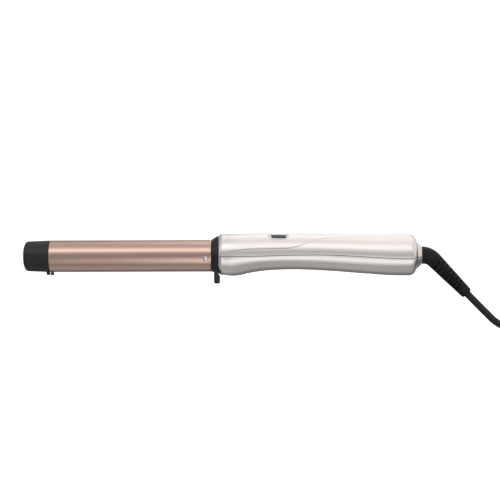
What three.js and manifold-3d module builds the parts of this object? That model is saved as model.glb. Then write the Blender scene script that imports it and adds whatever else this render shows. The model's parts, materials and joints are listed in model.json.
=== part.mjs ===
// Clipless curling iron: heated barrel, cool tip, two-shell handle, cord swivel and mains lead.
// Millimetres, +Z up. The barrel's axis is the X axis: cool tip at -X, cord at +X.
// The origin is the middle of the handle's grip, on the barrel's axis.
import * as THREE from 'three';
import { mergeVertices } from 'three/addons/utils/BufferGeometryUtils.js';
import Module from 'manifold-3d';

const wasm = await Module();
wasm.setup();

// ---- driving dimensions -------------------------------------------------------------------

const GAP = 0.3; // clearance between touching pieces
const BARREL_R = 14;
const BARREL_WALL = 1;
const BARREL_FRONT = -235.5; // the rim beside the cool tip
const BARREL_REAR = -93.5; // the end that butts on the collar
const TIP_END = -259.1;
const TIP_RIM_R = 13.95;
const TIP_DOME = [[0, 0], [0.1, 4.2], [0.7, 8.75], [1.55, 11], [2.4, 12.3], [3.3, 12.85], [4.4, 13.2]];
const TIP_SCREW_X = -233.8;
const TIP_SCREW_HEAD = -16.7; // how low the screw's head reaches
const RIVET_X = -98.4;
const RIVET_TILT = THREE.MathUtils.degToRad(10); // below the horizontal
const COLLAR_FRONT = -93.2;
const COLLAR_REAR = -87.5;
const COLLAR_BORE_R = 13;
const COLLAR_NECK_R = 12;
const HOLDER_R = 12.7;
const FOOT = { front: -91, rear: -86.1, bottom: -24.3, width: 22, corner: 1.4 };
const HANDLE_FRONT = -87.2;
const FRONT_WALL = 2.9; // how thick the shells are at the front opening
const CONE_END = 92;
const WALL_LOWER = 2.2;
const WALL_UPPER = 3.2;
const FASCIA_T = 1.1;
const FASCIA_X = [-84.6, 83];
const ROUNDNESS = 2.05; // exponent of the handle's rounded section
const WINDOW = { x: -34.2, length: 13.2, width: 20.4, corner: 2.6 };
const BEZEL = { length: 17.4, width: 23.6, corner: 4.2 };
const BUTTON_X = { power: -13, plus: 3, minus: 19 };
const BUTTON_R = 4.2;
const BUTTON_PROUD = 0.1;
const PCB = { front: -52, rear: 34, halfWidth: 10.5, bottom: 6.5, top: 8.1 };
const PCB_SCREW_X = [-46, 30];
const HANDLE_SCREW_X = [-62, 46];
const SWIVEL_HOLE_R = 5.8;
const SWIVEL_STEM_R = 5.2;
const GUARD_START = 92.4;
const GUARD_BEND_R = 14;
const GUARD_ANGLE = THREE.MathUtils.degToRad(45.6);
const GUARD_STRAIGHT = 41.8; // from the end of its bend to its end face
const GUARD_R = [7.7, 7, 5.1]; // at its start, after its bend and at its end
const CORD_R = 3.2;
const FLOOR = -68; // the surface that the cord's far part lies on
const LEAD = { bendR: 30, sideFrom: 142, sideTo: 196, side: -15.2, length: 60, points: 18 };
const HANK = { start: 173, halfRun: 42.4, foldR: 29.4, waist: 12.9, y: 11, lift: 1.3, height: 19.2 };
const HANK_X = HANK.start + HANK.halfRun + HANK.foldR;
const TIE = { front: -5, rear: 1, thickness: 0.7 };
const PLUG = { x: 2, z: -50.7, rear: 20, face: 48, thickness: 13.2, halfWidth: 17.6, neck: 7 };
const PLUG_TILT = THREE.MathUtils.degToRad(8.5); // it lies on the hank with its face raised
const PIN = { r: 2, length: 19, spacing: 18.6 };

// ---- materials ----------------------------------------------------------------------------

const finish = (color, roughness, metalness) => () =>
  new THREE.MeshStandardMaterial({ color, roughness, metalness });

const LOOK = {
  black: finish(0x0c0c0e, 0.55, 0),
  roseGold: finish(0xc29a86, 0.28, 1),
  pearl: finish(0xd9d2cd, 0.25, 0.35),
  bezel: finish(0xe9e6e2, 0.2, 0.2),
  darkLens: finish(0x26282b, 0.1, 0),
  rubber: finish(0x101012, 0.7, 0),
  steel: finish(0xb9bbbd, 0.3, 1),
  brass: finish(0xc8a252, 0.3, 1),
  aluminium: finish(0xb5b8bb, 0.45, 1),
  ceramic: finish(0xe9e5dc, 0.6, 0),
  board: finish(0x1d5c3a, 0.5, 0),
  wire: finish(0xd8d4cf, 0.6, 0),
};

const iron = new THREE.Group();

function addPiece(name, look, geometry) {
  const mesh = new THREE.Mesh(geometry, LOOK[look]());
  mesh.name = name;
  iron.add(mesh);
}

// ---- solids -------------------------------------------------------------------------------

function bare(geometry) {
  const g = geometry.clone();
  g.deleteAttribute('normal');
  g.deleteAttribute('uv');
  return mergeVertices(g, 1e-4);
}

function toSolid(geometry) {
  const g = bare(geometry);
  return new wasm.Manifold(
    new wasm.Mesh({
      numProp: 3,
      vertProperties: Float32Array.from(g.attributes.position.array),
      triVerts: Uint32Array.from(g.index.array),
    }),
  );
}

function toGeometry(solid) {
  const m = solid.getMesh();
  const g = new THREE.BufferGeometry();
  g.setAttribute('position', new THREE.BufferAttribute(Float32Array.from(m.vertProperties), 3));
  g.setIndex(new THREE.BufferAttribute(Uint32Array.from(m.triVerts), 1));
  g.computeVertexNormals();
  return g;
}

const combine = (how, geometry, others) =>
  toGeometry(others.reduce((solid, other) => solid[how](toSolid(other)), toSolid(geometry)));
const cut = (geometry, ...tools) => combine('subtract', geometry, tools);
const join = (geometry, ...others) => combine('add', geometry, others);
const common = (geometry, ...others) => combine('intersect', geometry, others);

// Turns a closed geometry's faces outward.
function outward(g) {
  const [a, b, c] = [new THREE.Vector3(), new THREE.Vector3(), new THREE.Vector3()];
  let volume = 0;
  for (let i = 0; i < g.index.count; i += 3) {
    [a, b, c].forEach((v, k) => v.fromBufferAttribute(g.attributes.position, g.index.getX(i + k)));
    volume += a.dot(b.cross(c));
  }
  if (volume < 0) g.index.array.reverse();
  g.computeVertexNormals();
  return g;
}

// The triangles that close a row of n points round its middle point.
function fan(points, first, n) {
  const middle = new THREE.Vector3();
  points.slice(first, first + n).forEach((p) => middle.addScaledVector(p, 1 / n));
  const m = points.push(middle) - 1;
  return Array.from({ length: n }, (_, j) => [m, first + j, first + ((j + 1) % n)]);
}

// The triangles that close a C-shaped row: its outer line of n/2 points and the inner line back.
function strip(points, first, n) {
  const faces = [];
  for (let j = 0; j < n / 2 - 1; j++) {
    const [a, b] = [first + n - 1 - j, first + n - 2 - j];
    faces.push([a, first + j, first + j + 1], [a, first + j + 1, b]);
  }
  return faces;
}

// A closed body from rows of points, each row closed on itself. `cap` closes the two ends.
function skinned(rows, cap) {
  const n = rows[0].length;
  const points = rows.flat();
  const faces = [];
  for (let i = 0; i < rows.length - 1; i++) {
    for (let j = 0; j < n; j++) {
      const [a, b] = [i * n + j, i * n + ((j + 1) % n)];
      faces.push([a, b, a + n], [b, b + n, a + n]);
    }
  }
  faces.push(...cap(points, 0, n).map((f) => f.reverse()));
  faces.push(...cap(points, (rows.length - 1) * n, n));
  const g = new THREE.BufferGeometry().setFromPoints(points);
  g.setIndex(faces.flat());
  return outward(g);
}

// A round body from [along, radius] points whose profile closes on itself or starts and ends
// on the axis. turned() is about the X axis, and turnedUp() about the Z axis.
function lathe(profile, sides) {
  const points = profile.map(([x, r]) => new THREE.Vector2(r, x));
  if (profile[0][1] > 0) points.push(points[0].clone());
  return bare(new THREE.LatheGeometry(points, sides));
}
const turned = (profile, sides = 24) => outward(lathe(profile, sides).rotateZ(-Math.PI / 2));
const turnedUp = (profile, sides = 16) => outward(lathe(profile, sides).rotateX(Math.PI / 2));

const rod = (r, length, sides = 16) => new THREE.CylinderGeometry(r, r, length, sides);

// A vertical cylinder between two heights.
const post = (x, y, r, low, high, sides = 16) =>
  rod(r, high - low, sides).rotateX(Math.PI / 2).translate(x, y, (low + high) / 2);

const block = (x0, x1, y0, y1, z0, z1) =>
  new THREE.BoxGeometry(x1 - x0, y1 - y0, z1 - z0)
    .translate((x0 + x1) / 2, (y0 + y1) / 2, (z0 + z1) / 2);

// A rounded rectangle's outline, or a hole of that shape.
function roundedOutline(length, width, corner, Kind = THREE.Shape) {
  const outline = new Kind();
  const [a, b] = [length / 2 - corner, width / 2 - corner];
  [[a, b], [-a, b], [-a, -b], [a, -b]].forEach(([x, y], quarter) =>
    outline.absarc(x, y, corner, (quarter * Math.PI) / 2, ((quarter + 1) * Math.PI) / 2));
  return outline;
}

const raised = (shape, depth, curveSegments = 3) =>
  new THREE.ExtrudeGeometry(shape, { depth, bevelEnabled: false, curveSegments });

// A rounded rectangle in plan, between two heights.
const prism = (x, { length, width, corner }, grow, low, high) =>
  raised(roundedOutline(length + 2 * grow, width + 2 * grow, corner + grow), high - low)
    .translate(x, 0, low);

// A tube along a smooth curve through the given points.
function tube(points, r, sides, steps) {
  const section = new THREE.Shape(
    Array.from({ length: sides }, (_, i) => {
      const a = (i * 2 * Math.PI) / sides;
      return new THREE.Vector2(r * Math.cos(a), r * Math.sin(a));
    }),
  );
  const extrudePath = new THREE.CatmullRomCurve3(points.map((p) => new THREE.Vector3(...p)));
  return new THREE.ExtrudeGeometry(section, { extrudePath, steps });
}

// ---- the handle's outer form --------------------------------------------------------------

// Straight-line interpolation in a list of [x, value] rows.
function along(list, x) {
  if (x <= list[0][0]) return list[0][1];
  const i = list.findIndex(([x1]) => x <= x1);
  if (i < 0) return list.at(-1)[1];
  const [[x0, v0], [x1, v1]] = [list[i - 1], list[i]];
  return v0 + ((v1 - v0) * (x - x0)) / (x1 - x0);
}

// A smooth curve through a few [x, value] rows, as a finer list of them.
const eased = (rows, samples = 80) =>
  new THREE.SplineCurve(rows.map(([x, v]) => new THREE.Vector2(x, v)))
    .getPoints(samples).map((p) => [p.x, p.y]);

const TOP = eased([
  [-83, 19.2], [-60, 19.65], [-34, 19.65], [-12, 19.3], [10, 18.9], [50, 18.6], [80, 18.9],
]);
const BOTTOM = eased([
  [-83, -16.95], [-76, -17.75], [-69, -17.3], [-56, -14.6], [-42, -12.95], [-24, -12.3],
  [-6, -12.7], [16, -14], [40, -16], [64, -17.7], [80, -18],
]);
const HALF_WIDTH = eased([
  [-83, 17.3], [-72, 17.4], [-50, 16.4], [-22, 15.6], [6, 15.8], [44, 17], [80, 17.8],
]);
// The parting line of the two shells, and the edge of the fascia that covers the upper one.
const PARTING = eased([
  [-86, -0.6], [-55, -0.4], [-30, 0.35], [0, 0.6], [20, 0], [40, -1.2], [65, -2.6], [84, -3],
]);
const FASCIA_EDGE = eased([
  [-86, 1], [-80.6, 3], [-72.6, 4.2], [-62, 5.4], [-42, 6.1], [-26, 6.3], [-15.5, 8.6],
  [-9, 11.3], [-1, 13.4], [6, 15.2], [14, 15.6], [50, 15.5], [84, 16],
], 120);

// How far the full section is drawn in at the front rim and on the rear dome, and the small
// cone behind the dome.
const FRONT_RIM = [
  [HANDLE_FRONT, 2], [-87, 1.6], [-85.9, 0.55], [-85.5, 0.3], [-84.9, 0.08], [-84.2, 0],
];
const REAR_DOME = [[80, 0], [82, 0.15], [83.6, 0.8], [85, 1.9], [86.2, 3.5], [87, 5.2], [87.5, 6.9]];
const CONE = [[87.6, 11.8], [88.6, 11], [90.2, 9.6], [91.4, 8.4], [CONE_END, 7.7]];
const CONE_PARTING = -1.9;
const PARTING_END = [[84, -3], [CONE[0][0], CONE_PARTING]];

// One station of the handle: half width, top, bottom and parting height at x.
function station(x) {
  if (x >= CONE[0][0]) {
    const r = along(CONE, x);
    return { x, halfWidth: r, top: r, bottom: -r, parting: CONE_PARTING };
  }
  const inset = along(x < 0 ? FRONT_RIM : REAR_DOME, x);
  return {
    x,
    halfWidth: along(HALF_WIDTH, x) - inset,
    top: along(TOP, x) - inset,
    bottom: along(BOTTOM, x) + inset,
    parting: along(x > PARTING_END[0][0] ? PARTING_END : PARTING, x),
  };
}

// A point of a station's section at an angle (0 at +Y, 90 degrees at the top), drawn in by
// `inset`. Each half springs from a line half a gap off the parting line.
function sectionPoint(s, angle, inset) {
  const power = 2 / ROUNDNESS;
  const [across, up] = [Math.cos(angle), Math.sin(angle)];
  const spring = s.parting + (angle > Math.PI + 1e-9 || angle < -1e-9 ? -GAP / 2 : GAP / 2);
  const peak = spring > s.parting ? s.top - inset : s.bottom + inset;
  return new THREE.Vector3(
    s.x,
    (s.halfWidth - inset) * Math.sign(across) * Math.abs(across) ** power,
    spring + (peak - spring) * Math.abs(up) ** power,
  );
}

// The angle at which the upper half reaches the fascia's edge.
function edgeAngle(x) {
  const s = station(Math.min(x, FASCIA_X[1]));
  return Math.asin(((along(FASCIA_EDGE, s.x) - s.parting) / (s.top - s.parting)) ** (ROUNDNESS / 2));
}

const spread = (from, to, count) =>
  Array.from({ length: count }, (_, i) => from + ((to - from) * i) / (count - 1));

const STEP = 0.05; // along X, where the fascia's recess starts and ends
const RECESS_X = [FASCIA_X[0] - GAP, FASCIA_X[1] + GAP];
const STATIONS = [
  HANDLE_FRONT, -86.5, -85.9, RECESS_X[0] - STEP, RECESS_X[0], FASCIA_X[0], -83.6,
  -78, -70, -58, -42, -26, -18, -12, -5, 3, 12, 32, 54, 72, 80,
  FASCIA_X[1], RECESS_X[1], RECESS_X[1] + STEP, 85.2, 86.8, 87.5, CONE[0][0], 90.2, CONE_END,
];

// The inner side of a handle shell: drawn in by the wall, and at the ends down to the round
// openings for the collar's neck and for the swivel.
function hollowLine(x, angles, wall) {
  const s = station(x);
  const round = (r) => ({ ...s, halfWidth: r, top: r, bottom: -r });
  if (x < HANDLE_FRONT + FRONT_WALL) s.opening = round(COLLAR_NECK_R + 2 * GAP);
  if (x > RECESS_X[1] + 1) s.opening = round(SWIVEL_HOLE_R);
  return angles.map((a) => sectionPoint(s.opening ?? s, a, s.opening ? 0 : wall));
}

// A curved plate that follows the handle's form between two depths below its surface.
const plate = (xs, anglesAt, outer, inner) =>
  skinned(
    xs.map((x) => [
      ...anglesAt(x).map((a) => sectionPoint(station(x), a, outer)),
      ...anglesAt(x).map((a) => sectionPoint(station(x), a, inner)).reverse(),
    ]),
    strip,
  );

// The handle's whole form as one solid, drawn in by `inset`: what trims a screw boss.
const wholeForm = (inset) =>
  skinned(
    STATIONS.filter((x) => x > -80 && x < 80).map((x) =>
      spread(0, 2 * Math.PI, 17).slice(0, -1).map((a) => sectionPoint(station(x), a, inset))),
    fan,
  );

// ---- handle -------------------------------------------------------------------------------

const BOSS_R = 4.2;
const SCREW_SEAT = -9; // the ceiling of a handle screw's recess
const SCREW_HOLE_R = 1.7;

function lowerShell() {
  const angles = spread(-1e-6, -Math.PI + 1e-6, 13);
  const halves = STATIONS.map((x) => [
    ...angles.map((a) => sectionPoint(station(x), a, 0)),
    ...hollowLine(x, angles, WALL_LOWER).reverse(),
  ]);
  const handleBosses = HANDLE_SCREW_X.map((x) => post(x, 0, BOSS_R, -20, -2));
  const boardBosses = PCB_SCREW_X.map((x) => post(x, 0, 3, -20, PCB.bottom - GAP, 12));
  const form = wholeForm(1);
  const bosses = [...handleBosses, ...boardBosses].map((boss) => common(boss, form));
  return cut(
    join(skinned(halves, strip), ...bosses),
    ...HANDLE_SCREW_X.map((x) => post(x, 0, 3.1, -30, SCREW_SEAT)),
    ...HANDLE_SCREW_X.map((x) => post(x, 0, SCREW_HOLE_R, -12, 5, 12)),
    ...PCB_SCREW_X.map((x) => post(x, 0, 1.4, 0, 10, 12)),
  );
}

// The upper shell's outer line is drawn in where the fascia lies on it.
function upperShell() {
  const recess = FASCIA_T + GAP;
  const rows = STATIONS.map((x) => {
    const s = station(x);
    const edge = edgeAngle(x);
    const side = spread(0, edge - 0.01, 5);
    const top = spread(edge, Math.PI - edge, 9);
    const covered = x >= RECESS_X[0] && x <= RECESS_X[1];
    const angles = [...side, ...top, ...side.map((a) => Math.PI - a).reverse()];
    const outer = angles.map((a) =>
      sectionPoint(s, a, covered && a >= edge && a <= Math.PI - edge ? recess : 0));
    return [...outer, ...hollowLine(x, angles, WALL_UPPER).reverse()];
  });
  const form = wholeForm(2);
  const bosses = HANDLE_SCREW_X.map((x) => common(post(x, 0, 3.3, 0.6, 25), form));
  return cut(
    join(skinned(rows, strip), ...bosses),
    prism(WINDOW.x, WINDOW, -1.2, 5, 25),
    ...Object.values(BUTTON_X).map((x) => post(x, 0, BUTTON_R + GAP, 5, 25, 16)),
    ...HANDLE_SCREW_X.map((x) => post(x, 0, SCREW_HOLE_R, -5, 7, 12)),
  );
}

const ACROSS_GAP = 0.02; // radians between the fascia's side and its recess

function topFascia() {
  const xs = STATIONS.filter((x) => x >= FASCIA_X[0] && x <= FASCIA_X[1]);
  const anglesAt = (x) => {
    const edge = edgeAngle(x) + ACROSS_GAP;
    return spread(edge, Math.PI - edge, 9);
  };
  return cut(
    plate(xs, anglesAt, 0, FASCIA_T),
    prism(WINDOW.x, BEZEL, GAP, 5, 25),
    ...Object.values(BUTTON_X).map((x) => post(x, 0, BUTTON_R + GAP, 5, 25, 16)),
  );
}

// A curved plate over the display, before it is cut to its outline.
const displayPlate = (outer, inner) =>
  plate([-45.5, -42, -33, -26, -23], () => spread(0.5, Math.PI - 0.5, 11), outer, inner);

const displayBezel = () =>
  cut(
    common(displayPlate(0, FASCIA_T), prism(WINDOW.x, BEZEL, 0, 5, 25)),
    prism(WINDOW.x, WINDOW, GAP, 5, 25),
  );

const displayWindow = () =>
  common(displayPlate(0.1, FASCIA_T), prism(WINDOW.x, WINDOW, 0, 5, 25));

// A button: its cap, the flange that keeps it in, and the stem that presses its switch.
function button(x) {
  const top = station(x).top + BUTTON_PROUD;
  return turnedUp([
    [top, 0], [top, 3.7], [top - 0.35, BUTTON_R], [13.9, BUTTON_R], [13.9, 5.2], [12.8, 5.2],
    [12.8, 1.5], [12.4, 1.5], [12.4, 0],
  ]).translate(x, 0, 0);
}

const tactSwitch = (x) =>
  join(
    block(x - 3, x + 3, -3, 3, PCB.top + GAP, 11.1),
    post(x, 0, 1.6, 11, 11.6, 12),
  );

function boardScrew(x) {
  const seat = PCB.top + GAP;
  return turnedUp([
    [seat + 1.4, 0], [seat + 1.4, 1.5], [seat + 0.9, 2.2], [seat, 2.2], [seat, 1.1],
    [2.6, 1.1], [1.8, 0],
  ], 12).translate(x, 0, 0);
}

function handleScrew(x) {
  const seat = SCREW_SEAT - GAP;
  return turnedUp([
    [seat - 2, 0], [seat - 2, 2], [seat - 1.2, 2.8], [seat, 2.8], [seat, 1.4], [4.6, 1.4], [6, 0],
  ], 16).translate(x, 0, 0);
}

function mainBoard() {
  const { front, rear, halfWidth, bottom, top } = PCB;
  return cut(
    block(front, rear, -halfWidth, halfWidth, bottom, top),
    ...PCB_SCREW_X.map((x) => post(x, 0, 1.4, 0, 20, 12)),
  );
}

// ---- barrel end ---------------------------------------------------------------------------

// Radial tools through the barrel: the rivets' places and the tip screw's.
const rivetSide = (side, r, from, to, sides = 16) =>
  rod(r, to - from, sides)
    .translate(0, (from + to) / 2, 0)
    .rotateX(side > 0 ? -RIVET_TILT : Math.PI + RIVET_TILT)
    .translate(RIVET_X, 0, 0);

function barrelTube() {
  const [inner, bead] = [BARREL_R - BARREL_WALL, BARREL_R + 0.15];
  return cut(
    turned([
      [BARREL_FRONT, inner], [BARREL_FRONT, BARREL_R - 0.25], [BARREL_FRONT + 0.4, BARREL_R],
      [BARREL_REAR - 1.5, BARREL_R], [BARREL_REAR - 1.2, bead], [BARREL_REAR - 0.2, bead],
      [BARREL_REAR, BARREL_R], [BARREL_REAR, inner],
    ], 40),
    rivetSide(1, 1.5, 10, 16, 8),
    rivetSide(-1, 1.5, 10, 16, 8),
    post(TIP_SCREW_X, 0, 1.3, -16, -10, 8),
  );
}

function coolTip() {
  const rim = BARREL_FRONT - GAP;
  const dome = TIP_DOME.map(([depth, r]) => [TIP_END + depth, r]);
  const cap = turned([
    ...dome, [rim - 1, TIP_RIM_R], [rim, TIP_RIM_R - 0.3], [rim, HOLDER_R],
    [rim + 10, HOLDER_R], [rim + 10, 10.6], [TIP_END + 4, 10.2], [TIP_END + 3, 0],
  ], 32);
  const nub = post(rim - 1.6, 0, 1.6, TIP_SCREW_HEAD + 0.2, -11.5, 12);
  return cut(join(cap, nub), post(TIP_SCREW_X, 0, 1.3, -16, -8, 12));
}

const tipScrew = () =>
  turnedUp([
    [TIP_SCREW_HEAD, 0], [TIP_SCREW_HEAD, 1.2], [TIP_SCREW_HEAD + 0.5, 1.75],
    [-14.5, 1.75], [-14.5, 1], [-11, 1], [-10.4, 0],
  ], 16).translate(TIP_SCREW_X, 0, 0);

// A rivet: a domed head on the barrel and a shank into the holder.
const rivet = (side) =>
  outward(lathe([[15.2, 0], [15.1, 1.1], [14.7, 1.9], [14.3, 2.2], [14.2, 1.1], [10.6, 1.1], [10.6, 0]], 16))
    .rotateX(side > 0 ? -RIVET_TILT : Math.PI + RIVET_TILT)
    .translate(RIVET_X, 0, 0);

const barrelHolder = () =>
  cut(
    turned([
      [-111, 9.2], [-111, HOLDER_R], [-88.7, HOLDER_R], [-88.7, 10.7], [-81.4, 10.7],
      [-81.4, 13.2], [-78.8, 13.2], [-78.8, 9.2],
    ]),
    rivetSide(1, 1.5, 8, 16, 8),
    rivetSide(-1, 1.5, 8, 16, 8),
  );

// The collar's flare: [x, half width, top, bottom] from the barrel to the handle.
const COLLAR_FLARE = [
  [COLLAR_FRONT, 14.05, 14.3, -14.1],
  [-91.8, 14.6, 15.15, -14.4],
  [-90.4, 15.2, 16, -14.7],
  [-89, 15.7, 16.85, -15],
  [COLLAR_REAR, 16.2, 17.65, -15.4],
];

const collarForm = (grow) =>
  skinned(
    COLLAR_FLARE.map(([x, halfWidth, top, bottom]) =>
      spread(0, 2 * Math.PI, 29).slice(0, -1).map((a) => new THREE.Vector3(
        x,
        (halfWidth + grow) * Math.cos(a),
        Math.sin(a) * (Math.sin(a) > 0 ? top + grow : grow - bottom),
      ))),
    fan,
  );

// The collar's neck passes through the handle's front opening to a flange behind its wall.
function frontCollar() {
  const neck = turned([
    [COLLAR_REAR - 1, 0], [COLLAR_REAR - 1, COLLAR_NECK_R], [-83.3, COLLAR_NECK_R],
    [-83.3, 13.2], [-81.8, 13.2], [-81.8, 0],
  ], 28);
  const bore = turned([[-95, 0], [-95, COLLAR_BORE_R], [-88.3, COLLAR_BORE_R],
    [-88.3, 11], [-80, 11], [-80, 0]], 28);
  return cut(join(collarForm(0), neck), bore);
}

function standFoot() {
  const { front, rear, bottom, width, corner } = FOOT;
  const outline = new THREE.Shape();
  outline.moveTo(COLLAR_REAR, -8).lineTo(front, -8).lineTo(front, bottom + corner);
  outline.absarc(front + corner, bottom + corner, corner, Math.PI, 1.5 * Math.PI);
  outline.lineTo(rear, bottom).lineTo(rear, -17.6).lineTo(COLLAR_REAR, -17.2);
  const foot = raised(outline, width).rotateX(Math.PI / 2).translate(0, width / 2, 0);
  return cut(foot, collarForm(GAP));
}

// Half of the barrel's aluminium core, over (+1) or under (-1) the heater.
function heatSpreader(side) {
  const [r, flat] = [12.5, 1.75];
  const a = Math.asin(flat / r);
  const outline = new THREE.Shape().absarc(0, 0, r, a, Math.PI - a);
  return raised(outline, 104, 16)
    .rotateX(Math.PI / 2).rotateZ(Math.PI / 2)
    .rotateX(side > 0 ? 0 : Math.PI)
    .translate(-221, 0, 0);
}

// ---- leads inside -------------------------------------------------------------------------

const LEAD_R = 0.8;

function addLeads() {
  const fuseEnd = { front: -105.6, rear: -94 };
  const toBoard = (y) => [[-84, y / 2, 0], [-74, y * 0.9, 1], [-62, y, 3.4], [-54, y, 5], [-49, y, 5.3]];
  addPiece('fuse_lead', 'wire', tube([[-116.6, 4, 0], [-111, 4, 0], [fuseEnd.front - GAP, 4, 0]], LEAD_R, 6, 3));
  addPiece('thermal_fuse', 'ceramic', turned([
    [fuseEnd.front, 0], [fuseEnd.front, 1.4], [fuseEnd.front + 0.8, 2], [fuseEnd.rear - 0.8, 2],
    [fuseEnd.rear, 1.4], [fuseEnd.rear, 0],
  ], 12).translate(0, 4, 0));
  addPiece('heater_lead_left', 'wire',
    tube([[fuseEnd.rear + GAP, 4, 0], [-90, 4, 0], ...toBoard(8)], LEAD_R, 6, 10));
  addPiece('heater_lead_right', 'wire',
    tube([[-116.6, -4, 0], [-104, -4, 0], [-90, -4, 0], ...toBoard(-8)], LEAD_R, 6, 12));
  addPiece('temperature_sensor', 'ceramic', turned([
    [-116.6, 0], [-116.4, 0.8], [-115.6, 1.3], [-112.6, 1.3], [-111.8, 0.8], [-111.6, 0],
  ], 12).translate(0, 0, -5));
  addPiece('sensor_lead', 'wire', tube([
    [-111.2, 0, -5], [-100, 0, -5], [-88, 0, -4.6], [-76, -3, -3], [-67, -5.7, 0],
    [-59, -5.7, 2.8], [-53, -5.2, 5], [-49.8, -5, 5.6],
  ], 0.5, 6, 12));
  for (const [name, side] of [['mains_lead_live', 1], ['mains_lead_neutral', -1]]) {
    addPiece(name, 'wire', tube([
      [62.3, 0, 1.4 * side], [58, 1.4 * side, 1.4 * side], [53, 5 * side, 1.2 * side],
      [46, 6.4 * side, 1.8], [39, 6.4 * side, 4.2], [32, 6.4 * side, 5.3],
    ], LEAD_R, 6, 8));
  }
}

// ---- swivel -------------------------------------------------------------------------------

const SOCKET = { front: 60, rear: 83.2, outerR: 12.3, innerR: 10.2 };
const DRUM = { front: 64, bodyR: 6.2, rear: 92.1 };
const SLIP_RING_X = [69.8, 76.8];

// A brush: a bent strip from the socket's front wall to its slip ring.
function brush(contactX, side) {
  const t = 0.4;
  const line = [[contactX + 1.4, 8.5], [contactX, 8], [contactX - 3.4, 9.3], [62.8, 9.3], [62.8, 2.6]];
  const back = line.map(([x, z], i) => (i === 4 ? [x - t, z] : [x - (i === 3 ? t : 0), z + t]));
  const outline = new THREE.Shape([...line, ...back.reverse()].map(([x, z]) => new THREE.Vector2(x, z * side)));
  return outward(bare(raised(outline, 3))).rotateX(Math.PI / 2).translate(0, 1.5, 0);
}

function addSwivel() {
  const { front, rear, outerR, innerR } = SOCKET;
  addPiece('swivel_socket', 'black', turned([
    [front, 3], [front, outerR], [rear, outerR], [rear, innerR], [front + 2, innerR], [front + 2, 3],
  ]));
  addPiece('brush_live', 'brass', brush(SLIP_RING_X[0], 1));
  addPiece('brush_neutral', 'brass', brush(SLIP_RING_X[1], -1));
  addPiece('swivel_drum', 'black', turned([
    [DRUM.front, 2], [DRUM.front, DRUM.bodyR], [80, DRUM.bodyR], [80, 9.6], [82.9, 9.6],
    [82.9, SWIVEL_STEM_R], [DRUM.rear, SWIVEL_STEM_R], [DRUM.rear, 2],
  ]));
  SLIP_RING_X.forEach((x, i) => {
    const name = i === 0 ? 'slip_ring_live' : 'slip_ring_neutral';
    addPiece(name, 'brass', turned([
      [x - 1.7, DRUM.bodyR + GAP], [x - 1.7, 7.6], [x + 1.7, 7.6], [x + 1.7, DRUM.bodyR + GAP],
    ]));
  });
}

// The guard's centreline: a short stretch along +X, a bend down and a straight, tapering part.
function guardRows() {
  const bendX = GUARD_START + 0.45;
  const rows = [[GUARD_START, 0, 0, GUARD_R[0]]];
  for (const share of spread(0, 1, 6)) {
    const a = GUARD_ANGLE * share;
    const r = THREE.MathUtils.lerp(GUARD_R[0], GUARD_R[1], share);
    rows.push([bendX + GUARD_BEND_R * Math.sin(a), -GUARD_BEND_R * (1 - Math.cos(a)), a, r]);
  }
  const [x, z] = rows.at(-1);
  for (const share of [0.5, 1]) {
    const reach = GUARD_STRAIGHT * share;
    const r = THREE.MathUtils.lerp(GUARD_R[1], GUARD_R[2], share);
    rows.push([x + reach * Math.cos(GUARD_ANGLE), z - reach * Math.sin(GUARD_ANGLE), GUARD_ANGLE, r]);
  }
  return rows;
}

const cordGuard = () =>
  skinned(
    guardRows().map(([x, z, a, r]) =>
      spread(0, 2 * Math.PI, 21).slice(0, -1).map((t) => new THREE.Vector3(
        x + r * Math.sin(t) * Math.sin(a),
        r * Math.cos(t),
        z + r * Math.sin(t) * Math.cos(a),
      ))),
    fan,
  );

// ---- cord, hank and plug ------------------------------------------------------------------

// A change from 0 to 1 along two equal arcs.
const ease = (t) => (t < 0.5 ? 2 * t * t : 1 - 2 * (1 - t) ** 2);
const clamp = THREE.MathUtils.clamp;

// The stretch that isn't wound up, at a length s from the guard: straight down and out, round a
// bend, and over the floor to the hank's front side.
function leadPoint(s) {
  const [x0, z0] = guardRows().at(-1);
  const { bendR, sideFrom, sideTo, side } = LEAD;
  const [c, d] = [Math.cos(GUARD_ANGLE), Math.sin(GUARD_ANGLE)];
  const straight = (z0 - FLOOR - CORD_R - bendR * (1 - c)) / d;
  const bend = clamp((s - straight) / bendR, 0, GUARD_ANGLE);
  const run = Math.min(s, straight);
  const flat = Math.max(s - straight - bendR * GUARD_ANGLE, 0);
  const x = x0 + run * c + bendR * (d - Math.sin(GUARD_ANGLE - bend)) + flat;
  const y = side * ease(clamp((x - sideFrom) / (sideTo - sideFrom), 0, 1));
  return [x, y, z0 - run * d - bendR * (Math.cos(GUARD_ANGLE - bend) - c)];
}

// Half the hank's width at a distance from its tie: a waist that opens into the end loops. Two
// strands lie side by side, and take more width where they slant.
function hankHalfWidth(x) {
  const t = Math.abs(x) / HANK.halfRun;
  const rise = HANK.foldR - HANK.waist;
  const slope = (4 * rise * Math.min(t, 1 - t)) / HANK.halfRun;
  return HANK.waist + rise * ease(t) + 3 * CORD_R * (Math.hypot(1, slope) - 1);
}

// Brings a piece from the plug's own X axis, which starts at the tie, to where the plug lies.
const onPlug = (geometry) =>
  geometry.rotateY(-PLUG_TILT).translate(HANK_X + PLUG.x, HANK.y, PLUG.z);

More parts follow.
